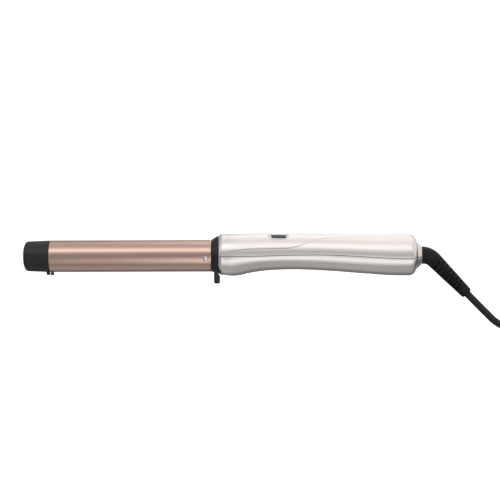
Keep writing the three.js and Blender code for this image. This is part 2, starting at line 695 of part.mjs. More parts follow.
function cordHank() {
  const { halfRun, foldR, lift, height, y } = HANK;
  const outline = new THREE.Shape();
  const xs = spread(halfRun, -halfRun, 13);
  outline.absarc(halfRun, 0, foldR, -Math.PI / 2, Math.PI / 2);
  xs.slice(1, -1).forEach((x) => outline.lineTo(x, hankHalfWidth(x)));
  outline.absarc(-halfRun, 0, foldR, Math.PI / 2, 1.5 * Math.PI);
  xs.slice(1, -1).reverse().forEach((x) => outline.lineTo(x, -hankHalfWidth(x)));
  const bundle = raised(outline, height + lift, 12).translate(HANK_X, y, FLOOR);
  const [side, reach] = [PLUG.halfWidth + 0.8, PLUG.face + PIN.length + 3];
  const plugBay = onPlug(block(1.1, reach, -side, side, -PLUG.thickness / 2 - 0.5, 30));
  const [from, to] = [HANK_X + TIE.front - 1, HANK_X + TIE.rear + 1];
  const underTie = block(from, to, y - 40, y + 40, FLOOR - 1, FLOOR + lift);
  return cut(bundle, plugBay, underTie);
}

function cableTie() {
  const { front, rear, thickness } = TIE;
  const halfWidth = hankHalfWidth(front) + GAP;
  const [low, high] = [FLOOR + HANK.lift - GAP, FLOOR + HANK.lift + HANK.height + GAP];
  const frame = roundedOutline(2 * (halfWidth + thickness), high - low + 2 * thickness, 1.2);
  frame.holes.push(roundedOutline(2 * halfWidth, high - low, 0.5, THREE.Path));
  return raised(frame, rear - front, 2)
    .rotateX(Math.PI / 2).rotateZ(Math.PI / 2)
    .translate(HANK_X + front, HANK.y, (low + high) / 2);
}

// The plug's plan: a narrow neck that widens to the face with the pins.
function plugBody() {
  const { rear, face, thickness, halfWidth, neck } = PLUG;
  const plan = [
    [rear, -neck + 2], [rear + 2, -neck], [rear + 9, -neck - 2], [face - 9, -halfWidth + 1],
    [face - 6, -halfWidth], [face, -halfWidth],
  ];
  const mirrored = plan.map(([x, y]) => [x, -y]).reverse();
  const outline = new THREE.Shape([...plan, ...mirrored].map(([x, y]) => new THREE.Vector2(x, y)));
  return onPlug(raised(outline, thickness).translate(0, 0, -thickness / 2));
}

function addPlug() {
  const rear = PLUG.rear - GAP;
  addPiece('plug_strain_relief', 'rubber',
    onPlug(turned([[1.4, 0], [1.4, 3.9], [2.4, 4.3], [rear, 5.6], [rear, 0]], 20)));
  addPiece('plug_body', 'rubber', plugBody());
  const pinFrom = PLUG.face + GAP;
  const pinProfile = [
    [pinFrom, 0], [pinFrom, PIN.r], [pinFrom + PIN.length - 1.2, PIN.r],
    [pinFrom + PIN.length - 0.3, 1.3], [pinFrom + PIN.length, 0],
  ];
  for (const [name, side] of [['plug_pin_left', 1], ['plug_pin_right', -1]]) {
    addPiece(name, 'brass', onPlug(turned(pinProfile, 16).translate(0, (side * PIN.spacing) / 2, 0)));
  }
}

// ---- assembly -----------------------------------------------------------------------------

function addBarrel() {
  addPiece('cool_tip', 'black', coolTip());
  addPiece('tip_screw', 'steel', tipScrew());
  addPiece('barrel_tube', 'roseGold', barrelTube());
  addPiece('heat_spreader_upper', 'aluminium', heatSpreader(1));
  addPiece('heat_spreader_lower', 'aluminium', heatSpreader(-1));
  addPiece('ceramic_heater', 'ceramic', block(-218, -119, -8, 8, -1.4, 1.4));
  addPiece('barrel_holder', 'black', barrelHolder());
  addPiece('barrel_rivet_left', 'steel', rivet(1));
  addPiece('barrel_rivet_right', 'steel', rivet(-1));
  addPiece('front_collar', 'black', frontCollar());
  addPiece('stand_foot', 'black', standFoot());
}

function addHandle() {
  addPiece('lower_shell', 'pearl', lowerShell());
  addPiece('upper_shell', 'pearl', upperShell());
  addPiece('top_fascia', 'pearl', topFascia());
  addPiece('display_bezel', 'bezel', displayBezel());
  addPiece('display_window', 'darkLens', displayWindow());
  addPiece('display_module', 'darkLens', block(-40, -28.4, -7, 7, 9.5, 13.2));
  for (const [name, x] of Object.entries(BUTTON_X)) {
    addPiece(`${name}_button`, 'bezel', button(x));
    addPiece(`${name}_switch`, 'steel', tactSwitch(x));
  }
  addPiece('main_board', 'board', mainBoard());
  PCB_SCREW_X.forEach((x, i) => addPiece(`board_screw_${i ? 'rear' : 'front'}`, 'steel', boardScrew(x)));
  HANDLE_SCREW_X.forEach((x, i) => addPiece(`handle_screw_${i ? 'rear' : 'front'}`, 'steel', handleScrew(x)));
  addPiece('control_chip', 'black', block(-36, -28, -4, 4, 4.6, PCB.bottom - GAP));
  addPiece('power_triac', 'black', block(-22, -11, -5, 5, 1.6, PCB.bottom - GAP));
  addPiece('smoothing_capacitor', 'black', turned([
    [-4, 0], [-4, 4], [-3.2, 5], [11, 5], [12, 4.4], [12, 0],
  ], 20).translate(0, 0, 1));
}

function addCord() {
  addPiece('cord_guard', 'rubber', cordGuard());
  const lead = spread(0.4, LEAD.length, LEAD.points).map(leadPoint);
  addPiece('cord', 'rubber', tube(lead, CORD_R, 8, 12));
  addPiece('cord_hank', 'rubber', cordHank());
  addPiece('cable_tie', 'rubber', cableTie());
}

addBarrel();
addHandle();
addLeads();
addSwivel();
addCord();
addPlug();

export default iron;
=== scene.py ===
# Clipless curling iron: the looks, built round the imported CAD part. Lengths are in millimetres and
# turned into metres when a mesh is made.
import json
import math

import bmesh
import bpy
from mathutils import Matrix, Vector


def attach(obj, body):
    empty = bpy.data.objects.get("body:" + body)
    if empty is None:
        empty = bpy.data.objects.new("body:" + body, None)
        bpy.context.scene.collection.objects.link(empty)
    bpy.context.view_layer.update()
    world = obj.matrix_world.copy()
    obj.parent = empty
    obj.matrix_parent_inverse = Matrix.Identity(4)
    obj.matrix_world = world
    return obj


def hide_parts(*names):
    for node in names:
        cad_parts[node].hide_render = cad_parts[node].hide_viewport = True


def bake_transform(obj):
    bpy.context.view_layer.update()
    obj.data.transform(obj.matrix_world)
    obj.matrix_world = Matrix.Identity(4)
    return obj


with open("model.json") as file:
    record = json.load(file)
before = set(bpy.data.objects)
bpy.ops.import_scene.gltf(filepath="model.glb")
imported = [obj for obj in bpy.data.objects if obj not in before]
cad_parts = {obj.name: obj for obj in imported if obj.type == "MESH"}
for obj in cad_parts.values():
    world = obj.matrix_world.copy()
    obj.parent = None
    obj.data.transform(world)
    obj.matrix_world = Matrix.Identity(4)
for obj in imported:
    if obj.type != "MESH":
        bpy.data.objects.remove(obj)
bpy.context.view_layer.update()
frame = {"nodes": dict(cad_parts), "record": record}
MM = 0.001
TAU = 2 * math.pi
rad = math.radians


# ---- camera ----

# It looks along +Y from the iron's side, turned a little about its own line of sight.
CAMERA_AT = (-0.0594, -1.21, 0.005)
CAMERA_LENS = 98.7
CAMERA_ROLL = rad(0.18)


def add_camera():
    data = bpy.data.cameras.new("camera")
    data.sensor_width = 36
    data.lens = CAMERA_LENS
    data.clip_end = 20
    camera = new_object("camera", data)
    camera.location = CAMERA_AT
    camera.rotation_euler = (rad(90), CAMERA_ROLL, 0)
    bpy.context.scene.camera = camera


def new_object(name, data):
    obj = bpy.data.objects.new(name, data)
    bpy.context.scene.collection.objects.link(obj)
    return obj


# ---- numbers and curves ----

def clamp(t, low=0.0, high=1.0):
    return min(max(t, low), high)


def mix(a, b, t):
    return a + (b - a) * t


def smooth(t):
    t = clamp(t)
    return t * t * (3 - 2 * t)


def ease(t):
    t = clamp(t)
    return 2 * t * t if t < 0.5 else 1 - 2 * (1 - t) ** 2


def spread(a, b, count):
    return [a + (b - a) * i / (count - 1) for i in range(count)]


def around(count):
    """Evenly spaced angles of a full turn."""
    return [TAU * i / count for i in range(count)]


def bulged(value, power):
    """A sine or cosine raised to a power with its sign kept, for a superellipse."""
    return math.copysign(abs(value) ** power, value)


def rounding(share, depth):
    """How far a rounded edge has fallen at a share of its length, 0 where it starts."""
    return depth * (1 - math.sqrt(1 - clamp(share) ** 2))


def along(rows, x):
    """The value at x of a line through rows of (x, value)."""
    if x <= rows[0][0]:
        return rows[0][1]
    for (x0, v0), (x1, v1) in zip(rows, rows[1:]):
        if x <= x1:
            return mix(v0, v1, (x - x0) / (x1 - x0))
    return rows[-1][1]


def catmull(a, b, c, d, t):
    return ((2 * b) + (c - a) * t + (2 * a - 5 * b + 4 * c - d) * t * t
            + (3 * b - a - 3 * c + d) * t ** 3) * 0.5


def eased(rows, samples=300):
    """A smooth curve through a few rows of numbers, as a finer list of them."""
    points = [Vector(r) for r in rows]
    last, out = len(points) - 1, []
    for k in range(samples + 1):
        p = last * k / samples
        i = min(int(p), last - 1)
        a = points[i - 1] if i else points[0] * 2 - points[1]
        d = points[i + 2] if i + 2 <= last else points[last] * 2 - points[last - 1]
        out.append(tuple(catmull(a, points[i], points[i + 1], d, p - i)))
    return out


def fillet(corners, closed=False, steps=4):
    """A line of (a, b) or (a, b, radius) corners with those radii rounded."""
    out, n = [], len(corners)
    for i, corner in enumerate(corners):
        radius = corner[2] if len(corner) > 2 else 0
        b = Vector(corner[:2])
        if not radius or (not closed and i in (0, n - 1)):
            out.append(tuple(b))
            continue
        u = (Vector(corners[i - 1][:2]) - b).normalized()
        v = (Vector(corners[(i + 1) % n][:2]) - b).normalized()
        half = u.angle(v) / 2
        centre = b + (u + v).normalized() * (radius / math.sin(half))
        start, end = (b + w * (radius / math.tan(half)) - centre for w in (u, v))
        a0 = math.atan2(start.y, start.x)
        turn = (math.atan2(end.y, end.x) - a0 + math.pi) % TAU - math.pi
        for k in range(steps + 1):
            a = a0 + turn * k / steps
            out.append((centre.x + radius * math.cos(a), centre.y + radius * math.sin(a)))
    return out


# ---- meshes ----

SHARP = 38  # degrees between two faces above which an edge isn't shaded smooth
SHELL_SHARP = 32
WELD = 2e-7  # points closer than this, in metres, become one
ON_AXIS = 1e-5  # the radius that stands for a point on a lathe's axis


def obj_from(name, points, faces, sharp=SHARP):
    """An object from points in millimetres, with its faces turned outward and shaded smooth."""
    mesh = bpy.data.meshes.new(name)
    mesh.from_pydata([Vector(p) * MM for p in points], [], faces)
    bm = bmesh.new()
    bm.from_mesh(mesh)
    bmesh.ops.remove_doubles(bm, verts=bm.verts, dist=WELD)
    bmesh.ops.recalc_face_normals(bm, faces=bm.faces)
    bm.to_mesh(mesh)
    bm.free()
    obj = new_object(name, mesh)
    shade(obj, sharp)
    return obj


def shade(obj, sharp=SHARP):
    obj.data.shade_smooth()
    obj.data.set_sharp_from_angle(angle=rad(sharp))


def ring_faces(rings, wrap=False, caps=True):
    """Faces over rings of equal length. wrap joins the last ring to the first."""
    n, count = len(rings[0]), len(rings)
    faces = []
    for i in range(count if wrap else count - 1):
        a, b = i * n, (i + 1) % count * n
        faces += [(a + j, a + (j + 1) % n, b + (j + 1) % n, b + j) for j in range(n)]
    if caps and not wrap:
        faces += [tuple(range(n))[::-1], tuple(range((count - 1) * n, count * n))]
    return faces


def lofted(name, rings, wrap=False, caps=True, sharp=SHARP):
    return obj_from(name, [p for ring in rings for p in ring],
                    ring_faces(rings, wrap, caps), sharp)


def shell_of(name, rings, sharp=SHARP):
    """A curved wall: each ring runs along the outer side and back along the inner one."""
    n = len(rings[0])
    faces = ring_faces(rings, caps=False)
    for base in (0, (len(rings) - 1) * n):
        faces += [(base + j, base + j + 1, base + n - 2 - j, base + n - 1 - j)
                  for j in range(n // 2 - 1)]
    return obj_from(name, [p for ring in rings for p in ring], faces, sharp)


def circle(r, n, x):
    return [(x, r * math.cos(a), r * math.sin(a)) for a in around(n)]


def lathe(name, profile, sides=96, place=None, sharp=SHARP):
    """A round body about the X axis from (x, r) rows, closed on itself or ending on the axis."""
    rings = [circle(max(r, ON_AXIS), sides, x) for x, r in profile]
    obj = lofted(name, rings, wrap=profile[0][1] > 0, caps=False, sharp=sharp)
    if place:
        obj.data.transform(scaled(place))
    return obj


def scaled(matrix):
    m = matrix.copy()
    m.translation = m.translation * MM
    return m


def at(x, y, z):
    return Matrix.Translation((x, y, z))


UPRIGHT = Matrix.Rotation(rad(-90), 4, "Y")  # brings a lathe's +X to +Z


def carve(obj, tool, how="DIFFERENCE", sharp=SHARP):
    """Joins or cuts with another object, which goes away."""
    mod = obj.modifiers.new("cut", "BOOLEAN")
    mod.operation, mod.solver, mod.object = how, "EXACT", tool
    dg = bpy.context.evaluated_depsgraph_get()
    made = bpy.data.meshes.new_from_object(obj.evaluated_get(dg))
    obj.modifiers.clear()
    obj.data = made
    bpy.data.objects.remove(tool)
    shade(obj, sharp)
    return obj


def cut_shell(shell, tools):
    for tool in tools:
        carve(shell, tool, sharp=SHELL_SHARP)


def merged(name, parts, sharp=SHARP):
    """Several objects' meshes as one object."""
    bm = bmesh.new()
    for part in parts:
        bm.from_mesh(part.data)
        bpy.data.objects.remove(part)
    mesh = bpy.data.meshes.new(name)
    bm.to_mesh(mesh)
    bm.free()
    obj = new_object(name, mesh)
    shade(obj, sharp)
    return obj


def box_tool(x0, x1, y0, y1, z0, z1):
    ring = [(y0, z0), (y1, z0), (y1, z1), (y0, z1)]
    return lofted("tool", [[(x, y, z) for y, z in ring] for x in (x0, x1)])


def post_tool(x, y, r, low, high, sides=64):
    return lathe("tool", [(low, 0), (low, r), (high, r), (high, 0)], sides, at(x, y, 0) @ UPRIGHT)


# ---- materials ----

def add_node(tree, kind, sockets=None, **settings):
    """A node with its settings, its sockets given a value or linked to another node's socket."""
    node = tree.nodes.new(kind)
    for key, value in settings.items():
        setattr(node, key, value)
    for key, value in (sockets or {}).items():
        if isinstance(value, bpy.types.NodeSocket):
            tree.links.new(value, node.inputs[key])
        else:
            node.inputs[key].default_value = value
    return node


def color_ramp(tree, source, stops):
    """A colour for a socket's value, from (value, colour) stops."""
    node = add_node(tree, "ShaderNodeValToRGB", {"Fac": source})
    elements = node.color_ramp.elements
    elements[0].position, elements[1].position = stops[0][0], stops[-1][0]
    for where, _ in stops[1:-1]:
        elements.new(where)
    for element, (_, color) in zip(elements, stops):
        element.color = (*color, 1)
    return node.outputs["Color"]


class Paint:
    """Builds one node material round a Principled shader."""

    def __init__(self, name):
        self.material = bpy.data.materials.new(name)
        self.material.use_nodes = True
        self.tree = self.material.node_tree
        self.shader = self.tree.nodes["Principled BSDF"]
        self.where = self.add("ShaderNodeTexCoord").outputs["Object"]

    def add(self, kind, sockets=None, **settings):
        return add_node(self.tree, kind, sockets, **settings)

    def feed(self, socket, source):
        self.tree.links.new(source, self.shader.inputs[socket])

    def noise(self, scale, detail=3.0, stretch=(1, 1, 1), rough=0.5):
        place = self.add("ShaderNodeMapping", {"Scale": stretch, "Vector": self.where})
        return self.add("ShaderNodeTexNoise", {
            "Scale": scale, "Detail": detail, "Roughness": rough,
            "Vector": place.outputs["Vector"]}).outputs["Fac"]

    def cells(self, scale):
        return self.add("ShaderNodeTexVoronoi", {"Scale": scale, "Vector": self.where}).outputs["Distance"]

    def ranged(self, source, low, high, to_low, to_high):
        return self.add("ShaderNodeMapRange", {
            "Value": source, "From Min": low, "From Max": high,
            "To Min": to_low, "To Max": to_high}).outputs["Result"]

    def ramp(self, source, stops):
        return color_ramp(self.tree, source, stops)

    def mixed(self, share, a, b, blend="MIX"):
        """Mixes two colours, by a number or a socket, into the base colour."""
        node = self.add("ShaderNodeMix", {0: share, "A": a, "B": b}, data_type="RGBA", blend_type=blend)
        self.feed("Base Color", node.outputs["Result"])

    def bump(self, *layers):
        """layers are (height, strength, distance in metres)."""
        below = {}
        for height, strength, distance in layers:
            node = self.add("ShaderNodeBump", {
                "Strength": strength, "Distance": distance, "Height": height, **below})
            below = {"Normal": node.outputs["Normal"]}
        self.feed("Normal", below["Normal"])

    def set(self, **values):
        for key, value in values.items():
            self.shader.inputs[key.replace("_", " ")].default_value = value


def shades(color, by):
    """Ramp stops a little darker and a little lighter than a colour."""
    return [(0.3, tuple(c * (1 - by) for c in color)),
            (0.7, tuple(min(c * (1 + by), 1) for c in color))]


def finish_of(name, color, rough, metal=0.0, vary=0.06, blotch=30, grain=900, depth=2e-5,
              strength=0.3, stretch=(1, 1, 1), spread_rough=0.05, **sockets):
    """A procedural finish: slow colour changes, uneven gloss and a fine grain."""
    p = Paint(name)
    p.feed("Base Color", p.ramp(p.noise(blotch, 4, stretch), shades(color, vary)))
    p.feed("Roughness", p.ranged(p.noise(blotch * 4, 5, stretch), 0.3, 0.7,
                                 rough - spread_rough, rough + spread_rough))
    p.bump((p.noise(grain, 4, stretch), strength, depth))
    p.set(Metallic=metal, **sockets)
    return p.material


def pearl_paint():
    """Pearl lacquer: fine metallic flakes in the colour coat and a clear coat with faint orange peel."""
    p = Paint("pearl_lacquer")
    flakes = p.cells(2600)
    p.mixed(0.5, p.ramp(p.noise(26, 3), shades((0.905, 0.845, 0.812), 0.02)),
            p.ramp(flakes, [(0.0, (1, 1, 1)), (0.6, (0.95, 0.945, 0.94))]), "MULTIPLY")
    p.feed("Roughness", p.ranged(flakes, 0, 0.6, 0.2, 0.26))
    p.bump((p.noise(420, 2), 0.03, 1e-5))
    p.set(Metallic=0.8, Coat_Weight=0.5, Coat_Roughness=0.06)
    return p.material


def barrel_paint():
    """Satin rose gold, with fine streaks along the barrel where it was drawn and coated."""
    p = Paint("rose_gold_satin")
    streaks = p.noise(900, 6, (0.012, 1, 1), 0.65)
    p.mixed(1.0, p.ramp(p.noise(14, 3, (0.4, 1, 1)), shades((0.71, 0.5, 0.425), 0.02)),
            p.ramp(streaks, [(0.3, (0.93, 0.92, 0.92)), (0.7, (1, 1, 1))]), "MULTIPLY")
    p.feed("Roughness", p.ranged(streaks, 0.3, 0.7, 0.16, 0.23))
    p.bump((streaks, 0.08, 1e-5), (p.noise(2600, 2), 0.06, 8e-6))
    p.set(Metallic=1.0)
    return p.material


def lens_paint():
    """Smoked glass, printed dark round its edge and pale behind the display's middle."""
    p = Paint("smoked_lens")
    split = p.add("ShaderNodeSeparateXYZ", {0: p.where})
    side = p.add("ShaderNodeMath", {0: split.outputs["Y"]}, operation="ABSOLUTE")
    edge = p.ranged(side.outputs[0], 0.0055, 0.006, 1, 0)
    p.mixed(edge, p.ramp(p.noise(300), shades((0.035, 0.037, 0.04), 0.15)),
            p.ramp(p.noise(200), shades((0.8, 0.81, 0.8), 0.02)))
    p.feed("Roughness", p.ranged(p.noise(500), 0.3, 0.7, 0.07, 0.12))
    p.bump((p.noise(700), 0.03, 1e-5))
    p.set(Specular_IOR_Level=0.3, Coat_Weight=0.25, Coat_Roughness=0.03)
    return p.material


def board_paint():
    """Green solder mask with lighter tracks under it."""
    p = Paint("solder_mask")
    mask, track = (0.012, 0.09, 0.04), (0.02, 0.16, 0.07)
    p.feed("Base Color", p.ramp(p.noise(260, 2, (1, 3, 1)), [(0.47, mask), (0.5, track), (0.58, mask)]))
    p.feed("Roughness", p.ranged(p.noise(500), 0.3, 0.7, 0.3, 0.42))
    p.bump((p.noise(700), 0.2, 2e-5))
    return p.material


BLACK = (0.011, 0.011, 0.0113)
RUBBER = (0.007, 0.007, 0.0072)


def make_paints():
    grain = dict(grain=2400, depth=3e-5, strength=0.35)
    return {
        "heatproof_black": finish_of("heatproof_black", BLACK, 0.46, **grain),
        "rose_gold_barrel": barrel_paint(),
        "pearl_plastic": pearl_paint(),
        "bezel_plastic": finish_of("bezel_pearl", (0.8, 0.77, 0.75), 0.2, 0.1, 0.02, strength=0.06,
                                   Coat_Weight=0.5, Coat_Roughness=0.05),
        "smoked_lens": lens_paint(),
        "display_glass": finish_of("display_glass", (0.05, 0.06, 0.06), 0.2, strength=0.05),
        "bright_steel": finish_of("bright_steel", (0.66, 0.66, 0.67), 0.24, 1, 0.05, grain=1500,
                                  strength=0.12),
        "dark_steel": finish_of("dark_steel", (0.12, 0.12, 0.125), 0.3, 1, 0.1, grain=1500,
                                strength=0.15),
        "plain_aluminium": finish_of("extruded_aluminium", (0.62, 0.63, 0.64), 0.42, 1,
                                     stretch=(0.05, 1, 1)),
        "white_ceramic": finish_of("fired_ceramic", (0.82, 0.79, 0.73), 0.55, 0, 0.04),
        "circuit_board": board_paint(),
        "chip_epoxy": finish_of("chip_epoxy", (0.02, 0.02, 0.021), 0.6, 0, 0.15, grain=1800),
        "capacitor_sleeve": finish_of("capacitor_sleeve", (0.02, 0.03, 0.08), 0.35),
        "lead_sleeve": finish_of("braided_sleeve", (0.74, 0.71, 0.66), 0.7, 0, 0.12, grain=3000,
                                 strength=0.8, depth=6e-5),
        "inner_black": finish_of("inner_black", (0.03, 0.03, 0.032), 0.5, 0, 0.1),
        # painted shade: a dark finish for the faces inside the parting groove, so that the groove reads as
        # a shadow line
        "painted_groove_shade": finish_of("painted_groove_shade", (0.09, 0.085, 0.08), 0.6, 0, 0.1),
        "spring_brass": finish_of("spring_brass", (0.72, 0.53, 0.2), 0.3, 1, 0.08, strength=0.15),
        "black_rubber": finish_of("guard_rubber", RUBBER, 0.5, 0, 0.12, grain=1600, strength=0.4,
                                  depth=3e-5, spread_rough=0.08, Specular_IOR_Level=0.25),
        "cord_jacket": finish_of("cord_jacket", (0.017, 0.017, 0.018), 0.4, 0, 0.12, grain=1100,
                                 strength=0.25, spread_rough=0.07, Specular_IOR_Level=0.3),
        "tie_plastic": finish_of("tie_nylon", (0.022, 0.022, 0.023), 0.38, 0, 0.1),
        "plug_plastic": finish_of("plug_plastic", (0.018, 0.018, 0.019), 0.45, 0, 0.1, **grain),
        "plug_brass": finish_of("nickelled_pin", (0.75, 0.71, 0.62), 0.25, 1, 0.05,
                                stretch=(0.1, 1, 1), strength=0.2),
    }


slot_of_node = {row["node"]: row["material_slot"] for row in frame["record"]["subparts"]}


def piece(obj, body, *nodes):
    """Stands the piece for its CAD nodes, gives it their finish and rides it on its body. A piece without
    a body is left unattached here."""
    slot = slot_of_node[nodes[0]]
    obj.data.materials.clear()
    obj.data.materials.append(paints[slot])
    if body:
        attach(obj, body)
    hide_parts(*nodes)
    return obj


SIDES = (("left", 1), ("right", -1))


# ---- the cord, its guard's line, the hank, the tie and the plug ----

CORD_R = 3.2
CORD_D = 2 * CORD_R
FLOOR = -68
GUARD_START, GUARD_LIP, GUARD_BEND_R, GUARD_STRAIGHT = 92.4, 0.45, 14, 41.8
GUARD_ANGLE = rad(45.6)
GUARD_R = (7.7, 7, 5.1)  # at its start, at the bend's end and at its own end
LEAD = dict(bend_r=30, side_from=142, side_to=196, side=-15.2)
HALF_RUN, FOLD_R, WAIST = 42.4, 19.8, 3.3
HANK_X, HANK_Y, LIFT = 173 + 42.4 + 29.4, 11, 1.3
TURNS = [(1, 0), (0, 0), (0, 1), (1, 1), (1, 2), (0, 2)]  # each turn's column and layer
SHIFT, LAG, SHIFT_FROM = 52, 15.6, 40  # how a turn passes to the next one's place
PLUG_AT = (HANK_X + 2, HANK_Y, -50.7)
PLUG_TILT = rad(8.5)
ON_PLUG = at(*PLUG_AT) @ Matrix.Rotation(-PLUG_TILT, 4, "Y")


def guard_line(s):
    """Point, angle and radius of the guard's centreline at a length s from its start."""
    bend = GUARD_BEND_R * GUARD_ANGLE
    start = GUARD_START + GUARD_LIP
    if s < GUARD_LIP:
        return GUARD_START + s, 0.0, 0.0, GUARD_R[0]
    t = min(s - GUARD_LIP, bend)
    a = t / GUARD_BEND_R
    x, z = start + GUARD_BEND_R * math.sin(a), -GUARD_BEND_R * (1 - math.cos(a))
    rest = s - GUARD_LIP - t
    if rest > 0:
        r = mix(GUARD_R[1], GUARD_R[2], rest / GUARD_STRAIGHT)
    else:
        r = mix(GUARD_R[0], GUARD_R[1], t / bend)
    return x + rest * math.cos(a), z - rest * math.sin(a), a, r


GUARD_LENGTH = GUARD_LIP + GUARD_BEND_R * GUARD_ANGLE + GUARD_STRAIGHT


def lead_point(s):
    """The stretch that isn't wound up, at a length s from the guard's end."""
    x0, z0, _, _ = guard_line(GUARD_LENGTH)
    c, d = math.cos(GUARD_ANGLE), math.sin(GUARD_ANGLE)
    bend_r = LEAD["bend_r"]
    straight = (z0 - FLOOR - CORD_R - bend_r * (1 - c)) / d
    bend = clamp((s - straight) / bend_r, 0, GUARD_ANGLE)
    run = min(s, straight)
    flat = max(s - straight - bend_r * GUARD_ANGLE, 0)
    x = x0 + run * c + bend_r * (d - math.sin(GUARD_ANGLE - bend)) + flat
    side = ease((x - LEAD["side_from"]) / (LEAD["side_to"] - LEAD["side_from"]))
    z = z0 - run * d - bend_r * (math.cos(GUARD_ANGLE - bend) - c)
    return Vector((x, LEAD["side"] * side, z))


def run_width(x, column):
    """How far a run's strand lies from the hank's middle line."""
    t = abs(x) / HALF_RUN
    rise = FOLD_R - WAIST
    slope = 4 * rise * min(t, 1 - t) / HALF_RUN
    return WAIST + rise * ease(t) + column * CORD_D * math.hypot(1, slope)


def hank_turn(k):
    """One turn: front run, far fold, back run and near fold, where it passes to its next place."""
    (c0, l0), (c1, l1) = TURNS[k], TURNS[k + 1]

    def place(s):
        f = smooth((s - SHIFT_FROM - (4 - k) * LAG) / SHIFT)
        return mix(c0, c1, f), mix(l0, l1, f)

    out = [(x, -run_width(x, c0), l0) for x in spread(-HALF_RUN, HALF_RUN, 13)[:-1]]
    r = FOLD_R + c0 * CORD_D
    out += [(HALF_RUN + r * math.cos(a), r * math.sin(a), l0)
            for a in spread(rad(-90), rad(90), 11)[:-1]]
    for x in spread(HALF_RUN, -HALF_RUN, 13)[:-1]:
        column, layer = place(HALF_RUN - x)
        out.append((x, run_width(x, column), layer))
    for a in spread(rad(90), rad(270), 13)[:-1]:
        column, layer = place(2 * HALF_RUN + (a - rad(90)) * (FOLD_R + CORD_R))
        r = FOLD_R + column * CORD_D
        out.append((-HALF_RUN + r * math.cos(a), r * math.sin(a), layer))
    return out


def on_hank(x, y, layer):
    lift = LIFT * (1 - ease(abs(x) / HALF_RUN))
    return Vector((HANK_X + x, HANK_Y + y, FLOOR + CORD_R + layer * CORD_D + lift))


ROUTE_STEP = 3.6
CROSSING = 22  # the length over which the last run swings to the hank's middle line


def cord_route():
    """Every point of the cord's line, from inside the guard to inside the plug's relief."""
    points = [lead_point(-6), lead_point(-3)]
    s = 0.0
    while lead_point(s).x < HANK_X - HALF_RUN - 3:
        points.append(lead_point(s))
        s += ROUTE_STEP
    for k in range(len(TURNS) - 1):
        points += [on_hank(*p) for p in hank_turn(k)]
    for x in spread(-HALF_RUN, PLUG_AT[0] - HANK_X, 8):
        points.append(on_hank(x, -run_width(x, 0) * (1 - smooth((x + CROSSING) / CROSSING)), 2))
    end, onward = points[-1], Vector((math.cos(PLUG_TILT), 0, math.sin(PLUG_TILT)))
    return points + [end + onward * s for s in (3, 6, 9)]


def spaced_line(points, step):
    """A smooth line through the points with even steps."""
    fine = []
    ends = [points[0] * 2 - points[1], *points, points[-1] * 2 - points[-2]]
    for a, b, c, d in zip(ends, ends[1:], ends[2:], ends[3:]):
        fine += [catmull(a, b, c, d, k / 8) for k in range(8)]
    fine.append(points[-1])
    out, left = [fine[0]], step
    for a, b in zip(fine, fine[1:]):
        length = (b - a).length
        while length > left:
            a = a + (b - a) * (left / length)
            out.append(a)
            length -= left
            left = step
        left -= length
    return out


def tube(name, line, r, sides=16):
    """A round tube along a line, its rings turned as little as possible from one to the next."""
    rings, up = [], Vector((0, 1, 0))
    for i, p in enumerate(line):
        ahead = (line[min(i + 1, len(line) - 1)] - line[max(i - 1, 0)]).normalized()
        up = (up - ahead * up.dot(ahead)).normalized()
        side = ahead.cross(up)
        rings.append([p + (up * math.cos(a) + side * math.sin(a)) * r for a in around(sides)])
    return lofted(name, rings)


def add_cord():
    line = spaced_line(cord_route(), 2.4)
    cord = tube("mains_cord", line, CORD_R)
    piece(cord, None, "cord", "cord_hank")
    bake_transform(cord)
    return cord, [list(p * MM) for p in line]


def section_loop(points, outline):
    """Rings of a band's section carried round a closed plane line of (y, z) points."""
    n, rings = len(points), []
    for i, p in enumerate(points):
        t = (Vector(points[(i + 1) % n]) - Vector(points[i - 1])).normalized()
        out = Vector((t.y, -t.x))
        rings.append([(x, p[0] + out.x * h, p[1] + out.y * h) for x, h in outline])
    return rings


TIE_X = (-5, 1)  # from the hank's middle
TIE_GAP = 0.65  # between the cord and the middle of the band's thickness


def add_tie():
    """A band round the hank's waist, with its lock on the far side."""
    half = run_width(TIE_X[0], 1) + CORD_R + TIE_GAP
    low, high = FLOOR + LIFT - TIE_GAP, FLOOR + LIFT + 3 * CORD_D + TIE_GAP
    near, far = HANK_Y - half, HANK_Y + half
    loop = fillet([(near, low, 3), (far, low, 3), (far, high, 3), (near, high, 3)], closed=True, steps=8)
    line = []
    for a, b in zip(loop, loop[1:] + loop[:1]):
        count = max(1, round((Vector(b) - Vector(a)).length / 0.8))
        line += [(mix(a[0], b[0], k / count), mix(a[1], b[1], k / count)) for k in range(count)]
    x0, x1 = (HANK_X + x for x in TIE_X)
    outline = fillet([(x0, -0.35, 0.12), (x1, -0.35, 0.12), (x1, 0.35, 0.25), (x0, 0.35, 0.25)],
                     closed=True, steps=2)
    band = lofted("tie_band", section_loop(line, outline), wrap=True)
    lock = fillet([(x0 - 0.6, -61.5, 0.8), (x1 + 0.6, -61.5, 0.8), (x1 + 0.6, -56, 0.8),
                   (x0 - 0.6, -56, 0.8)], closed=True)
    block = lofted("tie_lock", [[(x, y, z) for x, z in lock] for y in (far - 0.2, far + 3.0)])
    return piece(merged("cord_tie", [band, block]), "handle", "cable_tie")


# The plug's half width along its own axis, which starts just before its relief.
PLUG_PLAN = eased([(20, 5.4), (21, 6.6), (23.5, 7.6), (29, 9.2), (34, 12.8), (38.5, 16.4), (42, 17.6),
                   (48, 17.6)])
PLUG_POWER = 2 / 4.5
PLUG_EDGE = (0.8, 0.9)  # the radii of the edges at its two ends
PLUG_SIDES = 72


